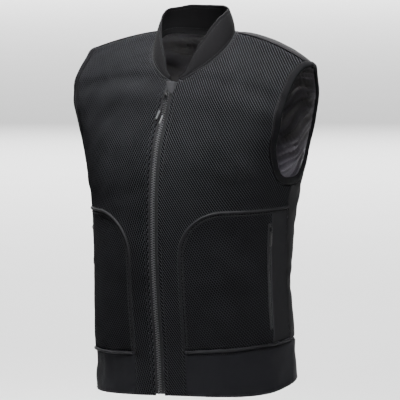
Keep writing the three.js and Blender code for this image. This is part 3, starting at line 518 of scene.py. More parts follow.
def tube(rings: Array, closed: bool = False, uv: Array | None = None,
         values: dict[str, Array] | None = None) -> Surface:
    """A closed surface from rings of points, each a closed section.

    Args:
        rings: (rings, sides, 3) points.
        closed: whether the last ring joins the first; if not, both ends are capped by fans.
        uv: (rings, sides, 2) cloth coordinates, or None for the lengths along and round.
        values: values for each point, (rings, sides).
    Returns:
        the surface."""
    count, sides = rings.shape[:2]
    index = np.arange(count * sides).reshape(count, sides)
    ahead = np.roll(index, -1, 0) if closed else index[1:]
    here = index if closed else index[:-1]
    quads = np.stack([here, np.roll(here, -1, 1), np.roll(ahead, -1, 1), ahead], -1).reshape(-1, 4)
    if uv is None:
        along = cumulative(rings.mean(1))
        round_ = np.linalg.norm(np.diff(rings, axis=1, append=rings[:, :1]), axis=-1)
        around = np.cumsum(round_, 1) - round_
        uv = np.stack([around, np.broadcast_to(along[:, None], around.shape)], -1) * MM
    points = rings.reshape(-1, 3)
    flat = {key: value.reshape(-1) for key, value in (values or {}).items()}
    triangles = np.zeros((0, 3), int)
    coords = uv.reshape(-1, 2)
    quads = upright(points - points.mean(0), quads)
    if not closed:
        first = count * sides
        points = np.concatenate([points, rings[:1].mean(1), rings[-1:].mean(1)])
        coords = np.concatenate([coords, uv[:1].mean(1), uv[-1:].mean(1)])
        flat = {k: np.concatenate([v, v[:1], v[-1:]]) for k, v in flat.items()}
        ends = np.roll(index[0], -1), index[0], index[-1], np.roll(index[-1], -1)
        triangles = np.concatenate([np.stack([*ends[:2], np.full(sides, first)], -1),
                                    np.stack([*ends[2:], np.full(sides, first + 1)], -1)])
        if not (quads[0, 0] == index[0, 0] and quads[0, 1] == index[0, 1]):
            triangles = triangles[:, ::-1]
    return Surface(points, quads, coords, flat, triangles)


def frames(points: Array, out: Array, closed: bool = False) -> tuple[Array, Array]:
    """Side and out directions along a line of points, square to it."""
    if closed:
        along = unit(np.roll(points, -1, 0) - np.roll(points, 1, 0))
    else:
        along = unit(np.gradient(points, axis=0))
    away = unit(out - along * (out * along).sum(-1, keepdims=True))
    return np.cross(away, along), away


def swept(points: Array, out: Array, section: Array, closed: bool = False) -> Surface:
    """A section carried along a line: each ring is the line's point plus the section's side and
    out lengths along the frame there.

    Args:
        points: (n, 3) line.
        out: (n, 3) outward directions.
        section: (sides, 2) or (n, sides, 2) lengths to the side and out.
        closed: whether the line is a loop.
    Returns:
        the surface."""
    side, away = frames(points, out, closed)
    section = np.broadcast_to(section, (len(points), *section.shape[-2:]))
    rings = (points[:, None] + side[:, None] * section[..., :1] + away[:, None] * section[..., 1:])
    return tube(rings, closed)


def oval(sides: int, wide: float, high: float) -> Array:
    """A round or oval section of half width wide and half height high."""
    angle = circle(sides)
    return np.stack([wide * np.cos(angle), high * np.sin(angle)], -1)


def squared_oval(sides: int, power: float) -> Array:
    """A closed section of half width 1 whose corners fill out as the power falls below 1."""
    x, z = np.cos(circle(sides)), np.sin(circle(sides))
    return np.stack([np.sign(x) * np.abs(x) ** power, np.sign(z) * np.abs(z) ** power], -1)


def beads(rings: Array, uv: Array | None = None) -> Surface:
    """Many small closed pieces as one mesh, each of six-sided rings with flat ends.

    Args:
        rings: (pieces, steps, 6, 3) points.
        uv: every point's cloth coordinates, or None for none.
    Returns:
        the surface."""
    count, steps, sides = rings.shape[:3]
    grid = np.arange(steps * sides).reshape(steps, sides)
    ahead = np.roll(grid, -1, 1)
    walls = np.stack([grid[:-1], ahead[:-1], ahead[1:], grid[1:]], -1).reshape(-1, 4)
    caps = np.array([[0, 5, 4, 3], [0, 3, 2, 1]])
    one = np.concatenate([walls, caps, (steps - 1) * sides + caps[:, ::-1]])
    first = rings[0].reshape(-1, 3)
    one = upright(first - first.mean(0), one)
    quads = (np.arange(count)[:, None, None] * steps * sides + one).reshape(-1, 4)
    flat = rings.reshape(-1, 3)
    return Surface(flat, quads, np.zeros((len(flat), 2)) if uv is None else uv.reshape(-1, 2))


def coil(points: Array, out: Array, at: Array, arch: Array, section: Array) -> Surface:
    """Turns of a zip's coil: at each length a six-sided wire follows an arch across the line.

    Args:
        points: (n, 3) line of the coil.
        out: (n, 3) outward directions.
        at: (m,) lengths along the line.
        arch: (k, 3) the wire's middle: to the side, along the line and out.
        section: (k, 2) the wire's half width along the line and half height.
    Returns:
        the joined turns."""
    run = cumulative(points)
    spot = read_off(at, run, points)
    side, away = frames(spot, unit(read_off(at, run, out)))
    along = np.cross(side, away)
    centre = spot[:, None] + arch @ np.stack([side, along, away], 1)
    wide = np.cos(circle(6)) * section[:, :1]
    high = np.sin(circle(6)) * section[:, 1:]
    return beads(centre[:, :, None] + along[:, None, None] * wide[..., None]
                 + away[:, None, None] * high[..., None])


# ------------------------------------------------------------------------------ cloth pieces


def pin(line: Place, at: int, other: Place, end: int | tuple[int, int] = -1) -> None:
    """Moves one place of a line onto a place of another line or grid, so that they share it."""
    line[0][at], line[1][at] = other[0][end], other[1][end]


def level_line(start: float, end: float, root: float, count: int) -> Place:
    """Evenly spaced places at one depth."""
    return np.linspace(start, end, count), np.full(count, root)


@dataclass
class Tailor:
    """Cuts cloth pieces on the torso: edges, grids and shells with walls."""

    torso: Torso = field(default_factory=Torso)
    band_height: float = 76.0
    placket: float = 52.0
    pocket_height: float = 250.0
    pocket_corner: float = 78.0
    pocket_bulge: float = 5.0
    seam_half: float = 0.05
    zip_side: float = 9.4
    seam_gap: float = 0.25
    neck_gap: float = 0.5
    lining_side: float = 6.0
    lining_margin: float = 4.4
    lining_lift: float = 8.0
    lining_gap: float = 1.0
    roll_radius: float = 2.6
    band_tuck: float = 0.4
    fit: float = 0.3

    def __post_init__(self) -> None:
        """Works out the levels that the seams share, and the cloth's own coordinates."""
        body = self.torso
        self.hem = -body.length
        self.band_top = self.hem + self.band_height
        self.pocket_top = self.band_top + self.pocket_height
        self.arm_margin = body.binding_width + body.arm_fit
        self.first_turn = float(np.degrees(np.arcsin(self.zip_side / body.neck_half_width)))
        turn, root = np.meshgrid(np.arange(MAP_COLUMNS) / MAP_TURNS,
                                 MAP_FOOT + np.arange(MAP_ROWS) / MAP_ROOTS)
        across, up = body.slopes(turn, root)
        self.map_across = np.cumsum(np.linalg.norm(across, axis=-1) / MAP_TURNS, axis=1)
        steps = np.linalg.norm(up, axis=-1) / MAP_ROOTS
        self.map_up = np.cumsum(steps[::-1], axis=0)[::-1]

    def coordinates(self, turn: Array, root: Array) -> Array:
        """The cloth's own coordinates in metres: the length round the torso from the front's
        middle and the length up it, looked up between sampled places."""
        turn = np.asarray(turn, float)
        behind = turn > 180
        least = 0.001
        u = np.clip(np.where(behind, 360 - turn, turn) * MAP_TURNS, 0, MAP_COLUMNS - 1 - least)
        v = np.clip((root - MAP_FOOT) * MAP_ROOTS, 0, MAP_ROWS - 1 - least)
        i, j = u.astype(int), v.astype(int)
        a, b = u - i, v - j
        found = [mix(mix(grid[j, i], grid[j, i + 1], a),
                     mix(grid[j + 1, i], grid[j + 1, i + 1], a), b)
                 for grid in (self.map_across, self.map_up)]
        whole = self.map_across[MAP_ROWS // 2, -1]
        found[0] = np.where(behind, 2 * whole - found[0], found[0])
        return np.stack(found, -1) * MM

    def resampled(self, parts: Sequence[Place], count: int) -> Place:
        """One edge of count + 1 places from lines of places that meet end to end, evenly spaced
        within each, the steps shared out by length so that every corner keeps its place."""
        lengths = [cumulative(self.torso.point(*part)) for part in parts]
        total = sum(length[-1] for length in lengths)
        ends = np.round(np.cumsum([length[-1] for length in lengths]) / total * count).astype(int)
        turn, root, start = [], [], 0
        for part, length, end in zip(parts, lengths, ends):
            at = np.linspace(0, length[-1], end - start + 1)[(1 if start else 0):]
            turn.append(np.interp(at, length, part[0]))
            root.append(np.interp(at, length, part[1]))
            start = end
        return np.concatenate(turn), np.concatenate(root)

    @staticmethod
    def blend(bottom: Place, top: Place, left: Place, right: Place) -> Place:
        """A grid of places between four edges: both ruled surfaces less the corners' one."""
        made = []
        for k in range(2):
            low, high = np.asarray(bottom[k], float), np.asarray(top[k], float)
            near, far = np.asarray(left[k], float)[:, None], np.asarray(right[k], float)[:, None]
            u = np.linspace(0, 1, len(low))[None]
            v = np.linspace(0, 1, len(near))[:, None]
            corners = mix(mix(low[0], low[-1], u), mix(high[0], high[-1], u), v)
            made.append(mix(near, far, u) + mix(low[None], high[None], v) - corners)
        return made[0], made[1]

    def pocket_line(self, t: Array) -> Place:
        """The pocket's edge: t from 0 at the hem, 1 at the band, 2 where the corner starts, 3
        where it ends and 4 at the side seam."""
        foot = self.pocket_top - self.pocket_corner
        level = np.interp(t, [0, 1, 2], [self.hem, self.band_top, foot])
        turned = np.radians(np.clip(t - 2, 0, 1) * 90)
        level = level + self.pocket_corner * np.sin(turned)
        across = self.placket + self.pocket_corner * (1 - np.cos(turned))
        root = np.sqrt(-level)
        end = np.maximum(t - 3, 0)
        seam = self.torso.side_seam(np.sqrt(-self.pocket_top))
        return mix(self.torso.degrees(across, root), seam, end), root

    def pocket_edge(self, start: float, end: float, margin: float, count: int = 160) -> Place:
        """Part of the pocket's edge with a margin to its outer side."""
        t = np.linspace(start, end, count)
        return self.torso.beside(self.pocket_line, t, np.full(count, margin), 0.01)

    def seam_edge(self, low: float, high: float, back: bool, count: int = 40) -> Place:
        """The side seam's edge on the front or back piece, from one level up to another."""
        root = np.sqrt(-np.linspace(low, high, count))
        shift = self.torso.degrees(self.seam_half, root) * (1 if back else -1)
        return self.torso.side_seam(root) + shift, root

    def arm_line(self, back: bool, margin: float | None = None) -> Place:
        """The cloth's edge along the armhole, from the underarm to the shoulder seam, beside the
        binding or at a margin of its own."""
        top = self.torso.arm_steps - 1.0
        t = np.linspace(2 * self.torso.arm_steps, top, 220) if back else np.linspace(0, top, 200)
        turn, root = self.torso.arm_edge(t, self.arm_margin if margin is None else margin)
        return (180 - turn, -root) if back else (turn, root)

    def neck_line(self, back: bool) -> Place:
        """The cloth's edge along the collar, from the shoulder seam or to it."""
        seam = self.torso.seam_turn
        ring = np.linspace(seam, 180, 120) if back else np.linspace(self.first_turn, seam, 120)
        turn, root = self.torso.neck(ring, self.neck_gap)
        return (180 - turn, -root) if back else (turn, root)

    def bulge(self, turn: Array, root: Array) -> Array:
        """How far a pocket stands out, most in the middle and towards its lower edge."""
        level = -root * root
        start = self.torso.degrees(self.placket, root)
        share = (np.abs(turn) - start) / (self.torso.side_seam(root) - start)
        rise = (level - self.band_top) / self.pocket_height
        belly = ease(share / 0.3) * ease((1 - share) / 0.3)
        return self.pocket_bulge * belly * ease((1 - rise) / 0.75) * mix(0.55, 1, ease(rise / 0.2))

    def shell(self, patches: Sequence[Place], outer: Callable[[Array, Array], Array],
              wall: float, side: Side = Side.LEFT, seam: float = 0.9, pucker: float = 0.35,
              uneven: float = 0.35, folds: float = 1.0, seed: int = 1) -> Surface:
        """A cloth piece with a wall: grids of places that share their edges, an outer face at the
        outer offset, an inner face a wall lower and a rim between them. Near its edges the face
        dips into the seam and puckers; all over, it has folds and slight unevenness.

        Args:
            patches: grids of places.
            outer: the outer face's offset at a place.
            wall: the cloth's thickness.
            side: which side it is on.
            seam: how far the face dips at its edge.
            pucker: height of the puckers by the seam.
            uneven: height of the unevenness.
            folds: share of the modelled folds that it shows.
            seed: which unevenness.
        Returns:
            the closed surface."""
        turn, root = (np.concatenate([patch[k].ravel() for patch in patches]) for k in range(2))
        bases = np.cumsum([0, *(patch[0].size for patch in patches)])
        grids = [np.arange(patch[0].size).reshape(patch[0].shape) + base
                 for patch, base in zip(patches, bases)]
        keys = np.round(np.stack([turn, root], -1), 5)
        _, first, to = np.unique(keys, axis=0, return_index=True, return_inverse=True)
        turn, root, to = turn[first], root[first], to.ravel()
        quads = np.concatenate([np.stack([g[:-1, :-1], g[:-1, 1:], g[1:, 1:], g[1:, :-1]], -1)
                                .reshape(-1, 4) for g in grids])
        quads = to[quads]
        edges = np.concatenate([quads[:, [k, (k + 1) % 4]] for k in range(4)])
        _, where, count = np.unique(np.sort(edges, 1), axis=0, return_index=True,
                                    return_counts=True)
        rim = edges[where[count == 1]]
        flat = self.torso.point(turn, root, side.value)
        near, reach = nearest(flat, flat[np.unique(rim)])
        lift = outer(turn, root) + folds * self.torso.creases(turn, root, side.value)
        for step, share, shift in UNEVEN:
            lift = lift + share * uneven * waves(flat, step, seed + shift)
        for step, share, shift, fade in PUCKERS:
            lift = lift + share * pucker * waves(near, step, seed + shift) * np.exp(-reach / fade)
        dip = seam * bell(reach, 0, 1.6) + 0.45 * seam * np.exp(-reach / 5)
        outside = self.torso.cloth(turn, root, lift - dip, side.value)
        inside = self.torso.cloth(turn, root, lift - wall, side.value)
        size = len(turn)
        around = np.concatenate([rim[:, ::-1], rim + size], 1)
        faces = np.concatenate([quads, quads[:, ::-1] + size, around])
        points = np.concatenate([outside, inside])
        uv = self.coordinates(turn, root)
        # The edge value drives the finishes' painted highlight by the seams; lift drives the
        # lining's painted highlight on its folds.
        values = {"edge": np.tile(np.exp(-reach / 3), 2), "lift": np.tile(lift, 2),
                  "turn": np.tile(turn, 2)}
        return Surface(points, upright(points - points.mean(0), faces), np.tile(uv, (2, 1)),
                       values)

    def front_patches(self, strip: int = 22, rows: int = 130, edge: int = 74) -> list[Place]:
        """The front piece: a strip beside the zip up to the pocket's corner, and all above it."""
        body = self.torso
        low = self.pocket_edge(0, 2.5, self.seam_half)
        low[1][0] = np.sqrt(-self.hem)
        right = self.resampled([low], rows)
        joint = right[1][-1] ** 2
        left_root = np.sqrt(np.linspace(-self.hem, joint - 8, rows + 1))
        left = body.degrees(self.zip_side, left_root), left_root
        u = np.linspace(0, 1, strip + 1)
        lower = tuple(mix(left[k][:, None], right[k][:, None], u) for k in range(2))
        top_edge = self.pocket_edge(2.5, 4, self.seam_half)
        foot = self.pocket_top + self.seam_half
        pin(top_edge, 0, lower, (-1, -1))
        pin(top_edge, -1, self.seam_edge(foot, self.pocket_top + 1, False), 0)
        beyond = self.resampled([top_edge], edge)
        bottom = tuple(np.concatenate([lower[k][-1], beyond[k][1:]]) for k in range(2))
        near = self.inner_edge(left_root[-1], self.zip_side)
        return [lower, self.closed_grid(bottom, near, self.outer_edge(foot), rows, self.seam_gap)]

    def inner_edge(self, start: float, across: float) -> list[Place]:
        """The front piece's edge beside the zip from a root up to the neck, and round the neck."""
        neck = self.neck_line(False)
        root = np.linspace(start, neck[1][0], 90)
        line = self.torso.degrees(across, root), root
        line[0][-1] = neck[0][0]
        return [line, neck]

    def outer_edge(self, start: float, margin: float | None = None,
                   back: bool = False) -> list[Place]:
        """A piece's edge up the side seam and along the armhole to the shoulder seam."""
        arm = self.arm_line(back, margin)
        seam = self.seam_edge(start, -arm[1][0] ** 2, back)
        pin(arm, 0, seam)
        return [seam, arm]

    def shoulder_root(self, gap: float) -> float:
        """The root at a gap in front of the shoulder seam."""
        _, up = self.torso.slopes(np.array([28.0]), np.array([self.torso.seam_root]))
        return self.torso.seam_root + gap / float(np.linalg.norm(up[0]))

    def closed_grid(self, bottom: Place, near: list[Place], far: list[Place], rows: int,
                    gap: float) -> Place:
        """The grid above a bottom edge, closed by the shoulder seam."""
        left, right = self.resampled(near, rows), self.resampled(far, rows)
        root = self.shoulder_root(gap)
        left[1][-1] = right[1][-1] = root
        u = np.linspace(0, 1, len(bottom[0]))
        top = mix(left[0][-1], right[0][-1], u), np.full(len(u), root)
        return self.blend(bottom, top, left, right)

    def back_grid(self, bottom: float, gap: float, margin: float | None = None,
                  columns: int = 150, rows: int = 150) -> Place:
        """The back piece from side seam to side seam, over the crest to the shoulder seams."""
        left = self.resampled(self.outer_edge(bottom, margin, True), rows)
        root = -self.shoulder_root(-gap)
        neck = self.neck_line(True)
        left[1][-1] = neck[1][0] = root
        shoulder = level_line(left[0][-1], neck[0][0], root, 40)
        mirror = [(360 - turn[::-1], roots[::-1]) for turn, roots in (neck, shoulder)]
        top = self.resampled([shoulder, neck, *mirror], columns)
        right = 360 - left[0], left[1].copy()
        low = level_line(left[0][0], right[0][0], np.sqrt(-bottom), columns + 1)
        return self.blend(low, top, left, right)

    def lining_front(self, columns: int = 76, rows: int = 150) -> Place:
        """The front lining: beside the zip, round the neck, along the armhole, above the hem."""
        foot = self.hem + self.lining_lift
        near = self.inner_edge(np.sqrt(-foot), self.lining_side)
        far = self.outer_edge(foot, self.lining_margin)
        bottom = level_line(near[0][0][0], far[0][0][0], np.sqrt(-foot), columns + 1)
        return self.closed_grid(bottom, near, far, rows, self.lining_gap)

    def pocket_grid(self, columns: int = 84, rows: int = 104) -> Place:
        """The pocket: up the placket to the corner, along the top, and down the side seam."""
        foot = self.band_top + self.roll_radius + self.fit
        left = self.pocket_edge(1, 2.5, -self.seam_half)
        left[1][0] = np.sqrt(-foot)
        top = self.pocket_edge(2.5, 4, -self.seam_half)
        side = self.seam_edge(foot, self.pocket_top - self.seam_half, False)
        pin(top, 0, left)
        pin(top, -1, side)
        left, right = self.resampled([left], rows), self.resampled([side], rows)
        bottom = level_line(left[0][0], right[0][0], np.sqrt(-foot), columns + 1)
        return self.blend(bottom, self.resampled([top], columns), left, right)

    def band_grid(self, columns: int = 300, rows: int = 30) -> Place:
        """The hem band, from the placket round the back to the other placket."""
        level = np.linspace(self.hem, self.band_top - self.roll_radius - self.fit, rows + 1)
        root = np.sqrt(-level)
        edge = self.torso.degrees(self.placket - self.band_tuck, root)[:, None]
        turn = mix(edge, 360 - edge, np.linspace(0, 1, columns + 1))
        return turn, np.broadcast_to(root[:, None], turn.shape)


def nearest(points: Array, others: Array, size: int = 4000) -> tuple[Array, Array]:
    """For each point the nearest of the others, and its distance, worked out size at a time."""
    best = np.full(len(points), np.inf)
    which = np.zeros(len(points), int)
    for start in range(0, len(points), size):
        part = points[start:start + size]
        square = ((part ** 2).sum(1)[:, None] + (others ** 2).sum(1) - 2 * part @ others.T)
        which[start:start + size] = square.argmin(1)
        best[start:start + size] = np.sqrt(np.maximum(square.min(1), 0))
    return others[which], best


# ------------------------------------------------------------------------------ finishes


class Graph:
    """Builds a material's nodes in short calls."""

    def __init__(self, name: str) -> None:
        """Starts a material with one principled shader."""
        self.material = bpy.data.materials.new(name)
        self.material.use_nodes = True
        self.tree = self.material.node_tree
        self.shader = self.tree.nodes["Principled BSDF"]

    def put(self, socket: bpy.types.NodeSocket, value: object) -> None:
        """Links a socket to another, or sets its own value."""
        if isinstance(value, bpy.types.NodeSocket):
            self.tree.links.new(value, socket)
        else:
            socket.default_value = value

    def node(self, kind: str, inputs: dict[int | str, object] | None = None,
             **settings: object) -> bpy.types.Node:
        """Adds a node with settings and inputs."""
        made = self.tree.nodes.new("ShaderNode" + kind)
        for key, value in settings.items():
            setattr(made, key, value)
        for key, value in (inputs or {}).items():
            self.put(made.inputs[key], value)
        return made

    def math(self, operation: str, *values: object) -> bpy.types.NodeSocket:
        """A Math node's output."""
        return self.node("Math", dict(enumerate(values)), operation=operation).outputs[0]

    def vector(self, operation: str, *values: object) -> bpy.types.NodeSocket:
        """A Vector Math node's vector output."""
        made = self.node("VectorMath", dict(enumerate(values)), operation=operation)
        return made.outputs["Value" if operation in ("LENGTH", "DOT_PRODUCT") else "Vector"]

    def scaled(self, value: object, much: float) -> bpy.types.NodeSocket:
        """A vector times a number."""
        return self.node("VectorMath", {0: value, "Scale": much}, operation="SCALE").outputs[0]

    def value(self, name: str) -> bpy.types.NodeSocket:
        """The factor of a mesh attribute."""
        return self.node("Attribute", attribute_name=name).outputs["Fac"]

    def cloth(self) -> bpy.types.NodeSocket:
        """The cloth's own coordinates, in metres."""
        return self.node("UVMap", uv_map="cloth").outputs["UV"]

    def place(self) -> bpy.types.NodeSocket:
        """Object coordinates."""
        return self.node("TexCoord").outputs["Object"]

    def noise(self, scale: float, detail: float = 2.0) -> bpy.types.NodeSocket:
        """A noise texture's factor, in object coordinates."""
        return self.node("TexNoise", {"Vector": self.place(), "Scale": scale,
                                      "Detail": detail}).outputs[0]

    def wave(self, where: object, step: float, distortion: float,
             axis: str = "X") -> bpy.types.NodeSocket:
        """A wave texture's factor, its bands a step apart along an axis."""
        inputs = {"Vector": where, "Scale": 0.314 / step, "Distortion": distortion}
        return self.node("TexWave", inputs, bands_direction=axis).outputs["Fac"]

    def add(self, first: object, second: object) -> bpy.types.NodeSocket:
        """The sum of two values."""
        return self.math("ADD", first, second)

    def times(self, first: object, second: object) -> bpy.types.NodeSocket:
        """The product of two values."""
        return self.math("MULTIPLY", first, second)

    def span(self, value: object, low: float, high: float, to_low: float = 0.0,
             to_high: float = 1.0) -> bpy.types.NodeSocket:
        """A value from one range mapped to another, held at its ends."""
        return self.node("MapRange", {0: value, 1: low, 2: high, 3: to_low, 4: to_high}).outputs[0]

    def colour(self, share: object, first: object, second: object) -> bpy.types.NodeSocket:
        """A colour between two by a share, each a tone of three numbers or a socket."""
        values = {0: share, 6: first, 7: second}
        return self.node("Mix", {k: (*v, 1.0) if isinstance(v, tuple) else v
                                 for k, v in values.items()}, data_type="RGBA").outputs[2]

    def shades(self, share: object, tone: Tone, low: float, high: float) -> bpy.types.NodeSocket:
        """A colour by a share between a darker and a lighter shade of one tone."""
        return self.colour(share, tuple(v * low for v in tone), tuple(v * high for v in tone))

    def bump(self, height: object, distance: float, strength: float) -> bpy.types.NodeSocket:
        """A bump of a height in metres times distance."""
        return self.node("Bump", {"Height": height, "Distance": distance,
                                  "Strength": strength}).outputs[0]

    def finish(self, **inputs: object) -> bpy.types.Material:
        """Sets the shader's inputs and returns the material."""
        for key, value in inputs.items():
            self.put(self.shader.inputs[key.replace("_", " ")], value)
        return self.material


@dataclass(frozen=True)
class SpacerMesh:
    """Knitted spacer mesh: threads round staggered holes that open on a dark inner layer, made
    near black with painted shade.
    """

    name: str = "spacer mesh"
    across: float = 0.0044
    along: float = 0.0079
    hole: float = 0.45
    slim: float = 0.74
    fat: float = 1.2
    turned: float = -6.0
    thread: Tone = (0.0472, 0.0480, 0.0528)
    # The holes' colour: the dark inner layer with painted shade, near black.
    deep: Tone = (0.0001, 0.0001, 0.00015)
    plain: Tone = (0.0086, 0.0086, 0.0092)
    # Sine and cosine of the slant of a lens-shaped hole.
    slant: tuple[float, float] = (0.507, 0.862)
    wander: float = 0.0011

    def make(self) -> bpy.types.Material:
        """Two square lattices of holes, one shifted by half a step, and the nearer hole's distance
        as the height; fine knit, and threads made lighter by the seams as painted highlight, on
        top."""
        g = Graph(self.name)
        turned = g.node("VectorRotate", {"Vector": g.cloth(), "Angle": np.radians(self.turned)},
                        rotation_type="Z_AXIS").outputs[0]
        noise = g.node("TexNoise", {"Vector": turned, "Scale": 55.0, "Detail": 1.0})
        centred = g.vector("SUBTRACT", noise.outputs["Color"], (0.5, 0.5, 0.5))
        shift = g.scaled(centred, self.wander)
        cell = g.vector("DIVIDE", g.vector("ADD", turned, shift), (self.across, self.along, 1.0))
        (sine, cosine), ratio = self.slant, self.along / self.across
        long_way = (-sine * self.slim, cosine * self.slim * ratio, 0.0)
        short_way = (cosine * self.fat, sine * self.fat * ratio, 0.0)
        far = []
        for half in (0.0, 0.5):
            moved = g.vector("FRACTION", g.vector("ADD", cell, (half, half, 0.0)))
            off = g.vector("SUBTRACT", moved, (0.5, 0.5, 0.0))
            parts = [g.vector("DOT_PRODUCT", off, way) for way in (long_way, short_way)]
            far.append(g.math("SQRT", g.add(*[g.times(part, part) for part in parts])))
        distance = g.add(g.math("MINIMUM", *far), g.times(g.noise(26.0, 1.0), 0.05))
        plain = g.value("plain")
        solid = g.math("MAXIMUM", g.span(distance, self.hole * 0.9, self.hole * 1.45), plain)
        tone = g.times(g.span(g.noise(9.0, 3.0), 0.3, 0.7), 0.5)
        # Painted highlight: the threads lighter near the piece's edges, by the seams.
        thread = g.shades(g.add(tone, g.times(g.value("edge"), 0.35)), self.thread, 0.86, 1.22)
        colour = g.colour(solid, self.deep, g.colour(plain, thread, self.plain))
        knit = g.node("TexWave", {"Vector": g.scaled(cell, 1.6), "Scale": 1.0, "Distortion": 1.5})
        height = g.add(solid, g.times(knit.outputs["Fac"], 0.12))
        return g.finish(Base_Color=colour, Roughness=0.86, Normal=g.bump(height, 0.0011, 0.9),
                        Specular_IOR_Level=0.004)


@dataclass(frozen=True)
class StretchCloth:
    """Smooth bonded stretch cloth: fine ribs, soft sheen, slight unevenness of tone."""

    name: str = "stretch cloth"
    tone: Tone = (0.0052, 0.0051, 0.0055)
    roughness: float = 0.78
    rib: float = 0.0011

    def make(self) -> bpy.types.Material:
        """Fine crossing ribs in the cloth's own coordinates over a wandering tone, with painted
        highlight by the edges.
        """
        g = Graph(self.name)
        at = g.cloth()
        ribs = g.add(g.wave(at, self.rib, 0.6), g.wave(at, self.rib * 1.4, 0.6, "Y"))
        height = g.add(g.times(ribs, 0.5), g.times(g.noise(420.0), 0.8))
        # Painted highlight: lighter where the edge value is high, along the piece's edges and
        # folds.
        tone = g.add(g.span(g.noise(14.0, 3.0), 0.3, 0.7, 0.0, 0.7),
                     g.times(g.value("edge"), 0.5))
        colour = g.shades(tone, self.tone, 0.84, 1.2)
        return g.finish(Base_Color=colour, Roughness=self.roughness,
                        Normal=g.bump(height, 0.00022, 0.7), Sheen_Weight=0.008,
                        Sheen_Roughness=0.45, Specular_IOR_Level=0.02)


@dataclass(frozen=True)
class Taffeta:
    """Thin lining taffeta: a plain weave with a soft gloss, its folds lighter with painted
    highlight.
    """

    name: str = "lining taffeta"
    tone: Tone = (0.032, 0.0303, 0.0308)
    # The lighter tone is painted light: highlight on the folds' ridges and light falling into the
    # armholes.
    pale: Tone = (0.064, 0.059, 0.073)
    step: float = 0.0009

    def make(self) -> bpy.types.Material:
        """A plain weave from two fine waves and small crumples, lighter with painted light on the
        ridges of the folds and low down in the armholes, where the light falls in."""
        g = Graph(self.name)
        at = g.cloth()
        weave = g.math("MAXIMUM", *[g.wave(at, self.step, 0.3, axis) for axis in "XY"])
        height = g.add(g.times(weave, 0.35), g.times(g.noise(95.0, 3.0), 2.6))
        # Painted highlight on the ridges of the folds, where the lining hangs in least.
        ridge = g.span(g.value("lift"), -7.0, -4.0, 0.0, 0.5)
        # Painted light low in the armholes, by the object's height, where the light falls in.
        level = g.add(g.node("SeparateXYZ", {0: g.place()}).outputs[2],
                      g.times(g.noise(9.0), 0.05))
        low = g.span(level, -0.165, -0.205, 0.0, 0.85)
        tone = g.add(g.add(ridge, low), g.span(g.noise(22.0), 0.3, 0.7, -0.15, 0.2))
        colour = g.colour(tone, tuple(v * 0.62 for v in self.tone), self.pale)
        return g.finish(Base_Color=colour, Roughness=0.46, Normal=g.bump(height, 0.0004, 0.8),
                        Sheen_Weight=0.05, Sheen_Roughness=0.4, Specular_IOR_Level=0.3)


@dataclass(frozen=True)
class WovenTape:
    """Woven zip tape: herringbone ribs."""

    name: str = "zip tape"
    tone: Tone = (0.006, 0.006, 0.0066)
    rib: float = 0.0011
    turn_back: float = 0.0018

    def make(self) -> bpy.types.Material:
        """Slanting ribs that turn back every few millimetres, darker between the ribs with painted
        shade.
        """
        g = Graph(self.name)
        parts = g.node("SeparateXYZ", {0: g.cloth()})
        zigzag = g.math("PINGPONG", parts.outputs[0], self.turn_back)
        slant = g.add(parts.outputs[1], g.times(zigzag, 1.4))
        rib = g.math("SINE", g.times(slant, 2 * np.pi / self.rib))
        # Painted shade: the colour follows the ribs, darker between them.
        tone = g.span(g.add(rib, g.noise(60.0)), -1.0, 2.0)
        colour = g.shades(tone, self.tone, 0.7, 1.35)
        return g.finish(Base_Color=colour, Roughness=0.82, Normal=g.bump(rib, 0.00015, 0.8),
                        Sheen_Weight=0.01, Specular_IOR_Level=0.06)


@dataclass(frozen=True)
class Moulded:
    """A moulded or painted hard finish: slight mottling, edges lighter with painted highlight and
    rubbed wear.
    """

    name: str
    tone: Tone
    roughness: float
    gloss: float = 0.06
    grain: float = 900.0

    def make(self) -> bpy.types.Material:
        """Fine grain in colour and bump; lighter with painted highlight and rubbed wear where the
        surface bends outwards.
        """
        g = Graph(self.name)
        fine = g.noise(self.grain, 3.0)
        # Painted highlight with rubbed wear: lighter where the surface bends outwards.
        worn = g.span(g.node("NewGeometry").outputs["Pointiness"], 0.5, 0.62, 0.0, 0.9)
        colour = g.shades(g.add(g.times(fine, 0.5), worn), self.tone, 0.78, 1.5)
        rough = g.span(fine, 0.3, 0.7, self.roughness - 0.06, self.roughness + 0.08)
        return g.finish(Base_Color=colour, Roughness=rough, Specular_IOR_Level=self.gloss,
                        Normal=g.bump(fine, 0.00008, 0.6))


@dataclass(frozen=True)
class Braid:
    """A fine braided cord or spun thread, its strands crossing in the piece's own coordinates."""

    name: str
    tone: Tone
    strand: float = 0.0009

    def make(self) -> bpy.types.Material:
        """Two slanting waves laid over each other, darker between the strands with painted shade.
        """
        g = Graph(self.name)
        parts = g.node("SeparateXYZ", {0: g.cloth()})
        slants = [g.add(parts.outputs[1], g.times(parts.outputs[0], way)) for way in (1.0, -1.0)]
        strands = [g.math("SINE", g.times(slant, 2 * np.pi / self.strand)) for slant in slants]
        height = g.math("MAXIMUM", *strands)
        # Painted shade: the colour follows the strands' height, darker between them.
        colour = g.shades(g.span(height, -0.6, 1.0), self.tone, 0.55, 1.25)
        return g.finish(Base_Color=colour, Roughness=0.85, Normal=g.bump(height, 0.00012, 0.8),
                        Sheen_Weight=0.02, Specular_IOR_Level=0.1)


@dataclass(frozen=True)
class Ground:
    """The plain pale floor."""

    name: str = "floor"

    def make(self) -> bpy.types.Material:
        """Near white, with a very slight tone."""
        g = Graph(self.name)
        colour = g.colour(g.noise(3.0), (0.93,) * 3, (0.96,) * 3)
        return g.finish(Base_Color=colour, Roughness=0.9, Specular_IOR_Level=0.1)


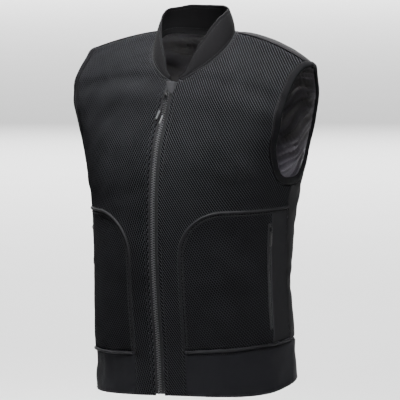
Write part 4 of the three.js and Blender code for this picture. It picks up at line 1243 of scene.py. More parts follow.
class Finishes:
    """Every finish of the vest, made once."""

    def __init__(self) -> None:
        """Makes the materials."""
        self.mesh = {Side.LEFT: SpacerMesh("left spacer mesh").make(),
                     Side.RIGHT: SpacerMesh("right spacer mesh", 0.005, 0.0078, 0.43, 0.92, 1.06,
                                            12.0).make()}
        self.pocket_mesh = SpacerMesh("pocket mesh", 0.0046, 0.0078, 0.45, 0.9, 1.08, -11.0).make()
        self.stretch = StretchCloth().make()
        self.band = StretchCloth("hem band cloth", (0.0058, 0.0058, 0.0068), 0.74).make()
        # Painted highlight: the piping and welt cloths are lighter copies of the stretch cloth,
        # for the light on the rolls, the flap and the welt's lips.
        self.piping = StretchCloth("piping cloth", (0.0078, 0.0078, 0.0085), 0.7).make()
        self.welt = StretchCloth("welt cloth", (0.0150, 0.0150, 0.0160), 0.6).make()
        self.binding = StretchCloth("binding cloth", (0.0022, 0.0022, 0.0025)).make()
        self.lining = Taffeta().make()
        self.tape = WovenTape().make()
        self.teeth = Moulded("coil teeth", (0.034, 0.034, 0.036), 0.42, grain=1500.0).make()
        self.metal = Moulded("painted metal", (0.0018, 0.0018, 0.0021), 0.33, 0.12).make()
        self.plastic = Moulded("soft plastic", (0.0011, 0.0011, 0.0013), 0.34, 0.35).make()
        self.tip = Moulded("cord end", (0.055, 0.056, 0.058), 0.5).make()
        self.dark_tip = Moulded("pocket cord end", (0.012, 0.012, 0.0125), 0.5).make()
        self.cord = Braid("pull cord", (0.011, 0.011, 0.012)).make()
        self.thread = Braid("seam thread", (0.017, 0.017, 0.018), 0.0006).make()


# ------------------------------------------------------------------------------ the vest's parts


@dataclass
class Part:
    """What every part of the vest is made with."""

    tailor: Tailor
    finishes: Finishes


@dataclass
class Stitcher(Part):
    """Sews lines of small stitches on the cloth."""

    length: float = 2.5
    gap: float = 1.1
    radius: float = 0.3
    flatness: float = 0.8
    # Along a stitch: the share of its length, its swelling, and its rise in radii.
    form: tuple[tuple[float, float, float], ...] = (
        (0, 0.15, -0.5), (0.12, 0.85, 0.1), (0.5, 1, 0.35), (0.88, 0.85, 0.1), (1, 0.15, -0.5))

    def line(self, points: Array, out: Array) -> Surface:
        """Stitches along a line: each a small six-sided capsule, sunk at its ends.

        Args:
            points: (n, 3) line on the cloth's face.
            out: (n, 3) outward directions.
        Returns:
            the joined stitches."""
        run = cumulative(points)
        starts = np.arange(self.gap, run[-1] - self.length, self.length + self.gap)
        share, swell, rise = np.array(self.form).T
        at = starts[:, None] + share * self.length
        spot, away = read_off(at, run, points), unit(read_off(at, run, out))
        side = np.cross(away, unit(spot[:, -1:] - spot[:, :1]))
        wide = np.cos(circle(6)) * self.radius * swell[:, None]
        high = (np.sin(circle(6)) * self.flatness * swell[:, None] + rise[:, None]) * self.radius
        rings = (spot[:, :, None] + side[:, :, None] * wide[..., None]
                 + away[:, :, None] * high[..., None])
        uv = np.stack(np.broadcast_arrays(circle(6) * self.radius, at[:, :, None]), -1) * MM
        return beads(rings, uv)

    def over(self, places: Place, offset: Array, side: Side = Side.LEFT) -> Surface:
        """Stitches along places of the torso at an offset."""
        return self.line(*self.tailor.torso.folded(*places, offset, side.value))

    def build(self, name: str, lines: Sequence[Surface]) -> None:
        """One object from several lines of stitches."""
        reduce(Surface.joined, lines).build(name, self.finishes.thread, "pull_cord", sharp=80)


@dataclass
class SewnPart(Part):
    """A part that also has stitches."""

    stitcher: Stitcher


@dataclass
class FrontPieces(SewnPart):
    """The two front pieces, their pockets, piping and rolls."""

    wall: float = 2.5
    piping_half: float = 2.75
    piping_height: float = 2.6
    fine_half: float = 1.0
    fine_height: float = 0.7
    fine_margin: float = -6.6
    roll_radius: float = 2.7
    ridge: float = 12.5
    ridge_height: float = 1.5
    groove: float = 16.9
    groove_depth: float = 1.4
    plain_turn: float = 72.4

    def facing(self, turn: Array, root: Array) -> Array:
        """The cloth's offset beside the zip: a soft ridge over the facing's edge and a stitched
        groove outside it, both bell curves across the front."""
        across = np.radians(turn) * self.tailor.torso.width(np.abs(root))
        ridge = self.ridge_height * bell(across, self.ridge, 1.7)
        groove = self.groove_depth * bell(across, self.groove, 1.4)
        return (ridge - groove) * ease((root * root - 95) / 12)

    def build(self, side: Side) -> None:
        """Builds one side's pieces."""
        tailor, word = self.tailor, side.word
        seed = 10 if side is Side.LEFT else 20
        panel = tailor.shell(tailor.front_patches(), self.facing, self.wall, side, seed=seed)
        panel.build_sheet(f"front_mesh_{word}", self.finishes.mesh[side], "spacer_mesh",
                          [f"front_panel_{word}"], "collar_band")
        pocket = tailor.shell([tailor.pocket_grid()], tailor.bulge, self.wall, side, seam=1.1,
                              pucker=0.5, seed=seed + 3)
        pocket.values["plain"] = ease((pocket.values["turn"] - self.plain_turn) / 0.6)
        pocket.build_sheet(f"pocket_mesh_{word}", self.finishes.pocket_mesh, "spacer_mesh",
                           [f"pocket_{word}"], f"front_mesh_{word}")
        self.piping(side)
        self.roll(side)
        lines = [self.stitcher.over(tailor.resampled([tailor.pocket_edge(*ends)], 400), lift, side)
                 for ends, lift in (((1.02, 3.98, -5.2), 0.15), ((0.02, 3.98, 3.6), 0.1))]
        root = np.linspace(np.sqrt(-tailor.hem) - 0.05, np.sqrt(101), 300)
        groove = tailor.torso.degrees(self.groove, root), root
        lines.append(self.stitcher.over(groove, -1.0, side))
        self.stitcher.build(f"front_stitches_{word}", lines)

    def piping(self, side: Side) -> None:
        """The rolled piping over the pocket's seam: an oval half sunk in the cloth, tall round the
        corner and along the top and flat down the placket, with a finer roll inside it."""
        tailor, body = self.tailor, self.tailor.torso
        turn, root = tailor.resampled([tailor.pocket_edge(1.02, 4, 0.0, 400)], 240)
        tall = mix(0.42, 1.0, ease((420 - root * root) / 70))
        end = ease((4.0 - np.linspace(1.02, 4, len(turn))) / 0.02)
        points, out = body.folded(turn, root, 0.1, side.value)
        wobble = 1 + 0.06 * waves(points, 20, 5)
        wide = self.piping_half * mix(0.7, 0.95, tall) * wobble
        high = self.piping_height * tall * mix(0.9, 1, end) * wobble
        angle = circle(14)
        section = np.stack([wide[:, None] * np.cos(angle),
                            high[:, None] * np.maximum(np.sin(angle), -0.12)], -1)
        roll = swept(points, out, section)
        places = tailor.resampled([tailor.pocket_edge(1.05, 3.99, self.fine_margin, 400)], 240)
        fine = swept(*body.folded(*places, tailor.bulge(*places) + 0.1, side.value),
                     oval(10, self.fine_half, self.fine_height))
        roll.joined(fine).build(f"pocket_piping_{side.word}_roll", self.finishes.piping,
                                "stretch_fabric", [f"pocket_piping_{side.word}"])

    def roll(self, side: Side, count: int = 220) -> None:
        """The roll that closes the pocket's lower edge, a round tube that stands out with it."""
        tailor, body = self.tailor, self.tailor.torso
        foot = np.sqrt(-tailor.band_top)
        turn, root = level_line(body.degrees(tailor.placket + 2.8, foot),
                                body.side_seam(foot) - 0.1, foot, count)
        proud = 0.62 * tailor.bulge(turn, root) + 0.4
        points = body.cloth(turn, root, proud, side.value)
        points[:, 2] += 0.5 * waves(points, 60, 7)
        ends = np.minimum(1, 0.4 + np.minimum(np.arange(count), np.arange(count)[::-1]) / 6)
        radius = self.roll_radius * ends * (1 + 0.05 * waves(points, 16, 8))
        tube_ = swept(points, body.outward(turn, root, side.value),
                      oval(14, 1, 1) * radius[:, None, None])
        tube_.build(f"pocket_roll_{side.word}", self.finishes.piping, "stretch_fabric",
                    [f"pocket_hem_roll_{side.word}"])


@dataclass
class BackAndBand(SewnPart):
    """The smooth back piece, the stretch hem band and the seams over the shoulders."""

    back_wall: float = 2.0
    band_wall: float = 3.0
    seam_half: float = 1.5
    seam_height: float = 0.9

    def build(self) -> None:
        """Builds all of them."""
        tailor = self.tailor
        places = tailor.back_grid(tailor.band_top + tailor.fit, tailor.seam_gap)
        back = tailor.shell([places], lambda turn, root: 0 * turn, self.back_wall, seed=31)
        back.build_sheet("back_piece", self.finishes.stretch, "stretch_fabric",
                         ["back_panel_left", "back_panel_right"], "collar_band")
        band = tailor.shell([tailor.band_grid()], self.band_face, self.band_wall, folds=0.2,
                            uneven=0.5, pucker=0.5, seam=1.0, seed=37)
        band.build_sheet("hem_band_cloth", self.finishes.band, "stretch_fabric", ["hem_band"],
                         "back_piece")
        lines = []
        for level in (tailor.hem + 3.5, tailor.band_top - 6.5):
            edge = tailor.torso.degrees(tailor.placket + 3, np.sqrt(-level))
            turn, root = level_line(edge, 360 - edge, np.sqrt(-level), 900)
            lines.append(self.stitcher.over((turn, root), 0.25 + self.band_face(turn, root)))
        self.stitcher.build("band_stitches", lines)
        self.shoulder_seams()

    def shoulder_seams(self) -> None:
        """The rolled seams over the shoulders, from the collar to the armhole's binding."""
        tailor, body = self.tailor, self.tailor.torso
        turn, root = level_line(tailor.neck_line(False)[0][-1], tailor.arm_line(False)[0][-1],
                                body.seam_root, 80)
        for side in Side:
            points = body.cloth(turn, root, 0.35, side.value)
            seam = swept(points, body.outward(turn, root, side.value),
                         oval(10, self.seam_half, self.seam_height))
            seam.build(f"shoulder_seam_{side.word}", self.finishes.binding, "stretch_fabric")

    def band_face(self, turn: Array, root: Array) -> Array:
        """The band's offset: slightly hollow in the middle of its height, with shallow dimples."""
        level = (-root * root - self.tailor.hem) / self.tailor.band_height
        points = self.tailor.torso.point(turn, root)
        dimple = 1.1 * waves(points * (1, 1, 0.5), 34, 71) + 0.9 * waves(points, 90, 72)
        return (-1.2 * np.sin(np.pi * np.clip(level, 0, 1)) + dimple * np.sin(np.pi * level))


@dataclass
class Collar(SewnPart):
    """The stand collar."""

    height: float = 54.0
    lean: float = 14.0
    wall: float = 3.0
    # Turn of the neck ring and height as a share.
    rises: tuple[tuple[float, float], ...] = (
        (7, 0.06), (15, 0.17), (22, 0.43), (30, 0.63), (45, 0.85), (60, 0.98), (75, 1), (90, 0.9),
        (105, 0.78), (120, 0.75), (150, 0.86), (180, 0.9))
    # The two rolls over the neck's seam: how far outside the neck ring, and half width.
    neck_rolls: tuple[tuple[float, float], ...] = ((1.2, 1.3), (5.2, 0.8))
    # The two stitched grooves round it: the share of its height, and the depth.
    grooves: tuple[tuple[float, float], ...] = ((0.1, 0.45), (0.9, 0.4))

    def foot(self, turns: Array, grow: float, offset: float) -> Place:
        """Points and outward directions round the neck ring, mirrored past its back."""
        turn, root = self.tailor.torso.neck(180 - np.abs(180 - turns), grow)
        points = self.tailor.torso.cloth(turn, root, offset)
        out = self.tailor.torso.outward(turn, root)
        flip = np.where(turns > 180, -1, 1)
        points[:, 0] *= flip
        out[:, 0] *= flip
        return points, out

    @staticmethod
    def away(turns: Array) -> Array:
        """Level directions away from the neck at turns of its ring."""
        return np.stack([np.sin(np.radians(turns)), -np.cos(np.radians(turns)), 0 * turns], -1)

    def rings(self, turns: Array, share: Array, inward: Array, below: Array) -> Array:
        """Points of the collar: out from the neck ring's foot, leaning in with the height.

        Args:
            turns: (n,) turns of the neck ring.
            share: (k,) shares of the height.
            inward: (k,) lengths towards the neck.
            below: (k,) lengths down into the seam.
        Returns:
            (n, k, 3) points."""
        foot, out = self.foot(turns, 0.0, 0.0)
        curve = Curve(*np.array(self.rises).T)
        height = (curve(180 - np.abs(180 - turns)) * self.height)[:, None]
        way = self.away(turns)[:, None]
        lean = self.lean * share * height / self.height + inward
        made = foot[:, None] - way * lean[..., None]
        made[..., 2] += share * height
        made -= out[:, None] * below[:, None]
        soft = np.sin(np.pi * np.clip(share, 0, 1)) * (0.5 * waves(foot, 80, 41)[:, None] + 1.2)
        return made + way * (soft * np.minimum(height / 40, 1))[..., None]

    def neck_piping(self, turns: Array) -> None:
        """The two fine rolls that cover the neck's seam, each an oval carried along the ring."""
        rolls = [swept(*self.foot(turns, grow, 0.2), oval(10, radius, radius * 0.8))
                 for grow, radius in self.neck_rolls]
        reduce(Surface.joined, rolls).build("neck_piping", self.finishes.piping, "stretch_fabric")

    def build(self) -> None:
        """Builds the collar: one closed section that rises outside, rounds over the top, falls
        inside and ends below the seam."""
        start = self.tailor.first_turn
        turns = np.linspace(start, 360 - start, 260)
        up = np.linspace(0, 1, 20)
        flat = 0 * up
        half = self.wall / 2
        over = np.radians(np.linspace(0, 180, 7))[1:-1]
        groove = sum(depth * bell(up, level, 0.03) for level, depth in self.grooves)
        share = np.concatenate([[0, 0], up, np.ones(len(over)), up[::-1], [0, 0]])
        inward = np.concatenate([[0.4, 0.1], groove, half - half * np.cos(over),
                                 self.wall - groove[::-1], [self.wall, self.wall - 0.3]])
        below = np.concatenate([[5.8, 2.4], flat, -half * np.sin(over), flat, [2.4, 5.8]])
        rings = self.rings(turns, share, inward, below)
        top = 2 * self.height
        rise = np.concatenate([[-6, -2], up * self.height, self.height + half * np.sin(over),
                               self.height * (1 + up) + 4, [top + 6, top + 9]])
        uv = np.stack(np.broadcast_arrays(cumulative(rings[:, 2])[:, None], rise), -1) * MM
        # Painted highlight along the collar's top fold, passed on as its edge value.
        worn = 0.8 * bell(share, 1, 0.06) + 0 * turns[:, None]
        tube(rings, uv=uv, values={"edge": worn}).build_sheet(
            "collar_band", self.finishes.stretch, "stretch_fabric", ["collar"], "back_piece", 60)
        self.neck_piping(turns[3:-3])
        ends = turns[14:-14]
        lines = []
        for level, _ in self.grooves:
            for depth, way in ((0.35, 1), (self.wall - 0.35, -1)):
                line = self.rings(ends, np.array([level]), np.array([depth]), np.zeros(1))[:, 0]
                lines.append(self.stitcher.line(line, way * self.away(ends)))
        self.stitcher.build("collar_stitches", lines)


@dataclass
class ArmBinding(SewnPart):
    """The bindings that fold over the armholes' edges."""

    # Margin into the cloth and offset outwards, once round the folded strip.
    section: tuple[tuple[float, float], ...] = (
        (13.9, -3.2), (13.95, -0.8), (13.6, 0.1), (12.4, 0.75), (10.4, 1.15), (8, 1.3),
        (5.4, 1.25), (3.2, 0.95), (1.5, 0.3), (0.4, -0.9), (0.0, -2.4), (0.2, -3.9), (0.8, -5.0),
        (1.7, -5.7), (2.6, -5.9), (3.3, -5.9), (3.9, -5.5), (4.2, -4.8), (4.6, -3.9))
    # Painted highlights, lighter lines along its folds: margin, fading length, strength.
    worn: tuple[tuple[float, float, float], ...] = ((13.8, 1.2, 1), (3.4, 0.8, 0.7), (0, 1.5, 0.5))
    stitch_margin: float = 12.0
    stitch_lift: float = 0.85

    def build(self, side: Side, count: int = 300) -> None:
        """Builds one armhole's binding, a closed section carried once round the armhole."""
        body = self.tailor.torso
        t = np.linspace(0, 2 * body.arm_steps, 4000)
        run = cumulative(body.point(*body.armhole(t)))
        length = np.arange(count) / count * run[-1]
        at = np.interp(length, run, t)
        rows = np.array(self.section)
        spot, margin, offset = np.broadcast_arrays(at[:, None], *rows.T)
        turn, root = body.arm_edge(spot.ravel(), margin.ravel())
        flat = body.point(turn, root)
        bend = 0.22 * waves(flat, 26, 51) + 0.12 * waves(flat, 9, 52)
        points = body.cloth(turn, root, offset.ravel() + bend, side.value)
        around = cumulative(np.append(rows, rows[:1], 0) @ np.eye(2, 3))[:-1]
        uv = np.stack(np.broadcast_arrays(length[:, None], around), -1) * MM
        # Painted highlight along the strip's folds, from the lines above.
        edge = sum(much * np.exp(-np.abs(margin - line) / fade) for line, fade, much in self.worn)
        shape = tube(points.reshape(*margin.shape, 3), closed=True, uv=uv, values={"edge": edge})
        shape.build_sheet(f"arm_binding_{side.word}", self.finishes.binding, "stretch_fabric",
                          [f"armhole_binding_{side.word}"], "back_piece")
        line = body.arm_edge(at, self.stitch_margin)
        points = body.cloth(*line, self.stitch_lift, side.value)
        stitches = self.stitcher.line(points, body.outward(*line, side.value))
        self.stitcher.build(f"arm_stitches_{side.word}", [stitches])


@dataclass
class Lining(Part):
    """The light lining, hung inside and falling in folds."""

    outer: float = -4.5
    wall: float = 1.2
    deep: float = 5.0
    diagonal_step: float = 37.0
    fine_step: float = 14.5
    gather_step: float = 44.0

    def drape(self, turn: Array, root: Array, side: int = 1) -> Array:
        """The lining's offset: long slanting folds, sharp ridges from a power of a raised sine
        whose lines wander, and upright gathers low down; all of it hangs inwards, and less near
        the crest, the hem and the armhole, where it is held."""
        body = self.tailor.torso
        points = body.point(turn, root, side)
        level = -root * root
        around = np.radians(np.where(turn > 180, turn - 360, turn)) * side * 190
        wander = 16 * waves(points, 150, 61) + 5 * waves(points, 60, 62)
        slant = level * 0.86 + np.abs(around) * 0.5 + wander

        def ridges(length: Array, step: float, power: int) -> Array:
            """Ridges from 0 to 1 at every step: a power of a raised sine."""
            return (0.5 + 0.5 * np.sin(2 * np.pi * length / step)) ** power

        diagonal = (ridges(slant, self.diagonal_step, 3)
                    + 0.8 * ridges(slant + 0.3 * wander, self.fine_step, 4))
        gathers = ridges(around + wander, self.gather_step, 2)
        depth = (mix(diagonal, gathers, ease((-level - 300) / 120))
                 * (0.75 + 0.25 * waves(points, 90, 63)))
        hold = ease((-level - 4) / 30) * ease((body.length + level) / 40)
        t = np.linspace(0, 2 * body.arm_steps, 260)
        rim = body.point(*body.arm_edge(t, 1.0))
        _, apart = nearest(np.abs(points) * (1, 0, 0) + points * (0, 1, 1), rim)
        return self.outer - self.deep * np.clip(depth, 0, 1.2) * hold * (1 - np.exp(-apart / 8))

    def hang(self, name: str, places: Place, side: Side, seed: int, replaces: Sequence[str],
             rests_on: str) -> None:
        """Builds one piece of the lining from its grid of places. Both sides drape from the
        left armhole's rim, mirrored."""
        cloth = self.tailor.shell([places], lambda t, r: self.drape(t, r, side.value), self.wall,
                                  side, seam=0.3, pucker=0.2, uneven=0.3, folds=0.0, seed=seed)
        cloth.build_sheet(name, self.finishes.lining, "lining_taffeta", replaces, rests_on)

    def back(self) -> None:
        """Builds the back lining."""
        tailor = self.tailor
        places = tailor.back_grid(tailor.hem + tailor.lining_lift, tailor.lining_gap,
                                  tailor.lining_margin, rows=170)
        self.hang("lining_back_cloth", places, Side.LEFT, 81,
                  ["lining_back_left", "lining_back_right"], "back_piece")

    def front(self, side: Side, cut: Tailor) -> None:
        """Builds one side's front lining, its edges cut by that side's tailor."""
        self.hang(f"lining_cloth_{side.word}", cut.lining_front(), side, 84,
                  [f"lining_front_{side.word}"], f"front_mesh_{side.word}")


@dataclass
class SliderShape:
    """A zip slider's body and the bridge over it, in its own frame: across, along, out."""

    length: float
    width: float
    height: float = 2.53
    rounding: float = 0.5
    # Along the body: the share of its length and its swelling.
    form: tuple[tuple[float, float], ...] = (
        (0, 0.5), (0.02, 0.8), (0.08, 0.97), (0.25, 1), (0.5, 1), (0.75, 1), (0.9, 0.97),
        (0.98, 0.8), (1, 0.5))

    def body(self) -> Array:
        """Rings of a waisted block from its lower end up: each ring a squared oval."""
        share, swell = np.array(self.form).T
        wide = self.width / 2 * mix(0.78, 1.0, ease(share)) * swell
        section = squared_oval(20, self.rounding)
        rings = np.zeros((len(share), 20, 3))
        rings[..., 0] = wide[:, None] * section[:, 0]
        rings[..., 1] = ((share - 0.5) * self.length)[:, None]
        rings[..., 2] = self.height / 2 * (1 + section[:, 1] * mix(0.55, 1, swell)[:, None])
        return rings

    def bridge(self) -> Array:
        """Rings of the bent wire over the body, an arc carried by an oval."""
        angle = np.linspace(-0.25, np.pi + 0.25, 15)
        radius = self.length * 0.27
        out = np.stack([0 * angle, np.cos(angle), np.sin(angle)], -1)
        centre = radius * out * (1, 1, 0.72) + np.array([0, 0, self.height * 0.9])
        return (centre[:, None] + out[:, None] * (0.6 * np.cos(circle(8)))[:, None]
                + np.array([1.0, 0, 0]) * (1.1 * np.sin(circle(8)))[:, None])

    def seated(self, origin: Array, axes: Array) -> Surface:
        """Body and bridge as one surface, carried to a place by the axes there."""
        return tube(origin + self.body() @ axes).joined(tube(origin + self.bridge() @ axes))


def smooth_line(points: Array, count: int) -> Array:
    """A smooth line through points, each coordinate a monotone curve of the length."""
    run = cumulative(points)
    at = np.linspace(0, run[-1], count)
    return np.stack([Curve(run, points[:, k])(at) for k in range(points.shape[1])], -1)


def moulded_end(line: Array, out: Array, radius: float) -> Surface:
    """A cord's moulded end: a tube that swells from its mouth and rounds off at its tip."""
    share = np.linspace(0, 1, len(line))
    swell = np.sqrt(np.clip(1 - np.clip((share - 0.86) / 0.14, 0, 1) ** 2, 0.02, 1))
    swell = swell * mix(0.82, 1, ease(share / 0.12)) * mix(1, 0.9, share)
    section = oval(12, radius, radius) * swell[:, None, None]
    return swept(line, np.broadcast_to(out, line.shape), section)


@dataclass
class ZipPart(Part):
    """What the front zip and the pockets' zips share: sliders, and cords that hang from them."""

    cord_radius: float = 1.1
    tip_radius: float = 1.7

    @staticmethod
    def axes(points: Array, out: Array) -> Array:
        """Across, along and out at the middle of three points that run up a zip."""
        side, away = frames(points, out)
        return np.stack([side[1], unit(points[2] - points[0]), away[1]])

    def hang(self, names: tuple[str, str], path: Array, out: Array, tip: Surface,
             finish: bpy.types.Material, solids: tuple[str, str]) -> None:
        """Args:
            names: the cord's and the end's.
            path: (n, 3) the cord's middle line, from the place that it hangs from.
            out: (n, 3) outward directions.
            tip: the moulded end.
            finish: the moulded end's material.
            solids: what the two stand for."""
        body = swept(path, out, oval(10, self.cord_radius, self.cord_radius))
        cord = body.build(names[0], self.finishes.cord, "pull_cord", solids[:1])
        end = tip.build(names[1], finish, "cord_tip", solids[1:])
        length = cumulative(path)[-1]
        log.info("%s: %.1f mm long", names[0], length)


@dataclass
class FrontZip(ZipPart):
    """The front zip: tapes, coil teeth, slider, ring, cords and the flap over its end."""

    top: float = 110.0
    tape_top: float = 86.3
    end: float = 3.0
    chain_width: float = 6.4
    high: float = 1.0
    pitch: float = 4.4
    slider_length: float = 11.0
    slider_width: float = 8.6
    tip_length: float = 17.0
    tip_mouth: float = 3.0
    ring_radius: float = 3.4
    ring_wire: float = 0.7
    # The flat core under the coil: its corners across the zip and outwards.
    core: tuple[tuple[float, float], ...] = (
        (-2.9, -1.55), (2.9, -1.55), (2.9, -0.7), (-2.9, -0.7))
    # Across the zip, below the slider's middle and lifted off the cloth.
    cord_a: tuple[tuple[float, float, float], ...] = (
        (-1.5, -9.4, 2.2), (-2.4, -12.5, 1.2), (-3.4, -16, 0.3), (-4.6, -19.5, 0),
        (-5.6, -22.5, 0), (-6.6, -26, 0))
    cord_b: tuple[tuple[float, float, float], ...] = (
        (1.5, -9.4, 2.2), (2.6, -13.5, 1.2), (3, -18, 0.3), (2.8, -22.5, 0), (2.2, -27, 0),
        (1.6, -30.5, 0), (1, -34, 0))
    # Down the flap: the share of its depth, and both edges as shares of the reach.
    flap_edges: tuple[tuple[float, float, float], ...] = (
        (0, -0.72, 0.28), (0.5, -0.27, 0.42), (0.8, 0.05, 0.52), (1, 0.3, 0.56))
    flap_reach: float = 20.0
    flap_top: float = 86.0
    flap_depth: float = 21.0
    flap_lift: float = 2.1

    @property
    def face(self) -> float:
        """The offset that things lying on the teeth rest at."""
        return self.high + 1.5 * self.tailor.fit

    def build(self) -> None:
        """Builds every piece of the zip."""
        self.tapes()
        self.teeth()
        self.slider()
        self.pulls()
        self.flap()

    def line(self, across: Array, level: Array, offset: Array) -> Place:
        """Points and outward directions at lengths across the zip and levels."""
        root = np.sqrt(-level)
        return self.tailor.torso.folded(self.tailor.torso.degrees(across, root), root, offset)

    def tape_face(self, turn: Array, root: Array) -> Array:
        """The tape's offset, with a low rib near the teeth."""
        across = np.radians(turn) * self.tailor.torso.width(root)
        return -0.4 + 0.35 * bell(across, 4.4, 0.5)

    def tapes(self) -> None:
        """Both tapes: a flat woven strip with a raised edge along the teeth."""
        tailor = self.tailor
        levels = np.linspace(tailor.hem + self.end, -self.tape_top, 300)
        columns = self.chain_width / 2 + np.linspace(0.3, 6.15, 9)
        root = np.sqrt(-levels)[:, None] + 0 * columns
        places = tailor.torso.degrees(columns, root), root
        for side in Side:
            tape = tailor.shell([places], self.tape_face, 1.2, side, seam=0.1, pucker=0.05,
                                uneven=0.05)
            tape.build_sheet(f"zip_tape_{side.word}", self.finishes.tape, "zip_tape",
                             [f"front_zip_tape_{side.word}"], f"front_mesh_{side.word}")

    def teeth(self) -> None:
        """The closed coil: every turn of the nylon wire is a small arch from the tape to just past
        the middle, those of the two sides half a step apart, over a thin core."""
        levels = np.linspace(self.tailor.hem + self.end, -self.top + 4.4, 400)
        points, out = self.line(np.zeros(400), levels, np.zeros(400))
        core = swept(points, out, np.array(self.core))
        core.build("zip_core", self.finishes.tape, "zip_tape")
        spine = np.linspace(0, 1, 7)
        across = mix(-0.75, 4.0, spine)
        rise = -0.5 + np.sqrt(np.clip(1 - np.abs(2 * spine - 0.9) ** 2.6, 0.02, 1))
        section = np.array([0.4, 0.7, 0.78, 0.8, 0.78, 0.7, 0.4])[:, None] * (0.95, 0.6)
        coils = []
        for way, start in ((1, 0.9), (-1, 0.9 + self.pitch / 2)):
            at = np.arange(start, cumulative(points)[-1] - 1, self.pitch)
            arch = np.stack([way * across, -0.3 * across, rise], -1)
            coils.append(coil(points, out, at, arch, section))
        reduce(Surface.joined, coils).build("zip_teeth", self.finishes.teeth, "zip_teeth",
                                            ["front_zip_chain"], sharp=60)

    def slider(self) -> None:
        """The slider and its ring, in the frame of the cloth where they sit."""
        points, out = self.line(np.zeros(3), np.arange(-1, 2) - self.top, self.face)
        axes = self.axes(points, out)
        shape = SliderShape(self.slider_length, self.slider_width)
        shape.seated(points[1], axes).build("zip_slider", self.finishes.metal, "slider_metal",
                                            ["front_zip_slider"])
        lift = shape.height + self.ring_wire + self.tailor.fit
        angle = circle(36)
        ring = np.stack([np.cos(angle), np.sin(angle) - 1, 0 * angle], -1) * self.ring_radius
        loop = points[1] + (ring + (0, 0, lift)) @ axes
        body = swept(loop, np.broadcast_to(axes[2], loop.shape),
                     oval(10, self.ring_wire, self.ring_wire), True)
        body.build("pull_ring", self.finishes.metal, "slider_metal", ["front_pull_ring"])

    def pulls(self) -> None:
        """Both cords of the pull, each running into its own moulded end."""
        for word, route in (("a", self.cord_a), ("b", self.cord_b)):
            points = np.array(route, float)
            reach = self.tip_length - self.tip_mouth
            last = points[-1] + unit(points[-1] - points[-2]) * reach
            line = smooth_line(np.concatenate([points, [mix(points[-1], last, 0.5), last]]), 26)
            rest = self.face + self.tip_radius + line[:, 2]
            spots, out = self.line(line[:, 0], -self.top + line[:, 1], rest)
            run = cumulative(spots)
            at = np.linspace(0, run[-1], 40)
            path, away = read_off(at, run, spots), unit(read_off(at, run, out))
            run = cumulative(path)
            at = np.linspace(run[-1] - reach, run[-1] + 2.6, 26)
            beyond = np.maximum(at - run[-1], 0)[:, None] * unit(path[-1] - path[-3])
            tip = moulded_end(read_off(at, run, path) + beyond, away[-1], self.tip_radius)
            self.hang((f"pull_cord_{word}", f"pull_tip_{word}"), path, away, tip,
                      self.finishes.tip, (f"front_pull_cord_{word}", f"front_pull_tip_{word}"))

    def flap(self) -> None:
        """The small slanting flap over the zip's upper end."""
        share, near, far = np.array(self.flap_edges).T
        depth = np.linspace(1, 0, 26)
        across = self.flap_reach * mix(Curve(share, near)(depth)[:, None],
                                       Curve(share, far)(depth)[:, None], np.linspace(0, 1, 18))
        root = np.sqrt(self.flap_top + depth * self.flap_depth)[:, None] + 0 * across
        places = self.tailor.torso.degrees(across, root), root
        flap = self.tailor.shell([places], lambda turn, _: self.flap_lift + 0 * turn, 1.8,
                                 seam=0.5, pucker=0.1, uneven=0.15)
        flap.build_sheet("zip_flap", self.finishes.piping, "stretch_fabric", ["zip_garage"],
                         "collar_band")


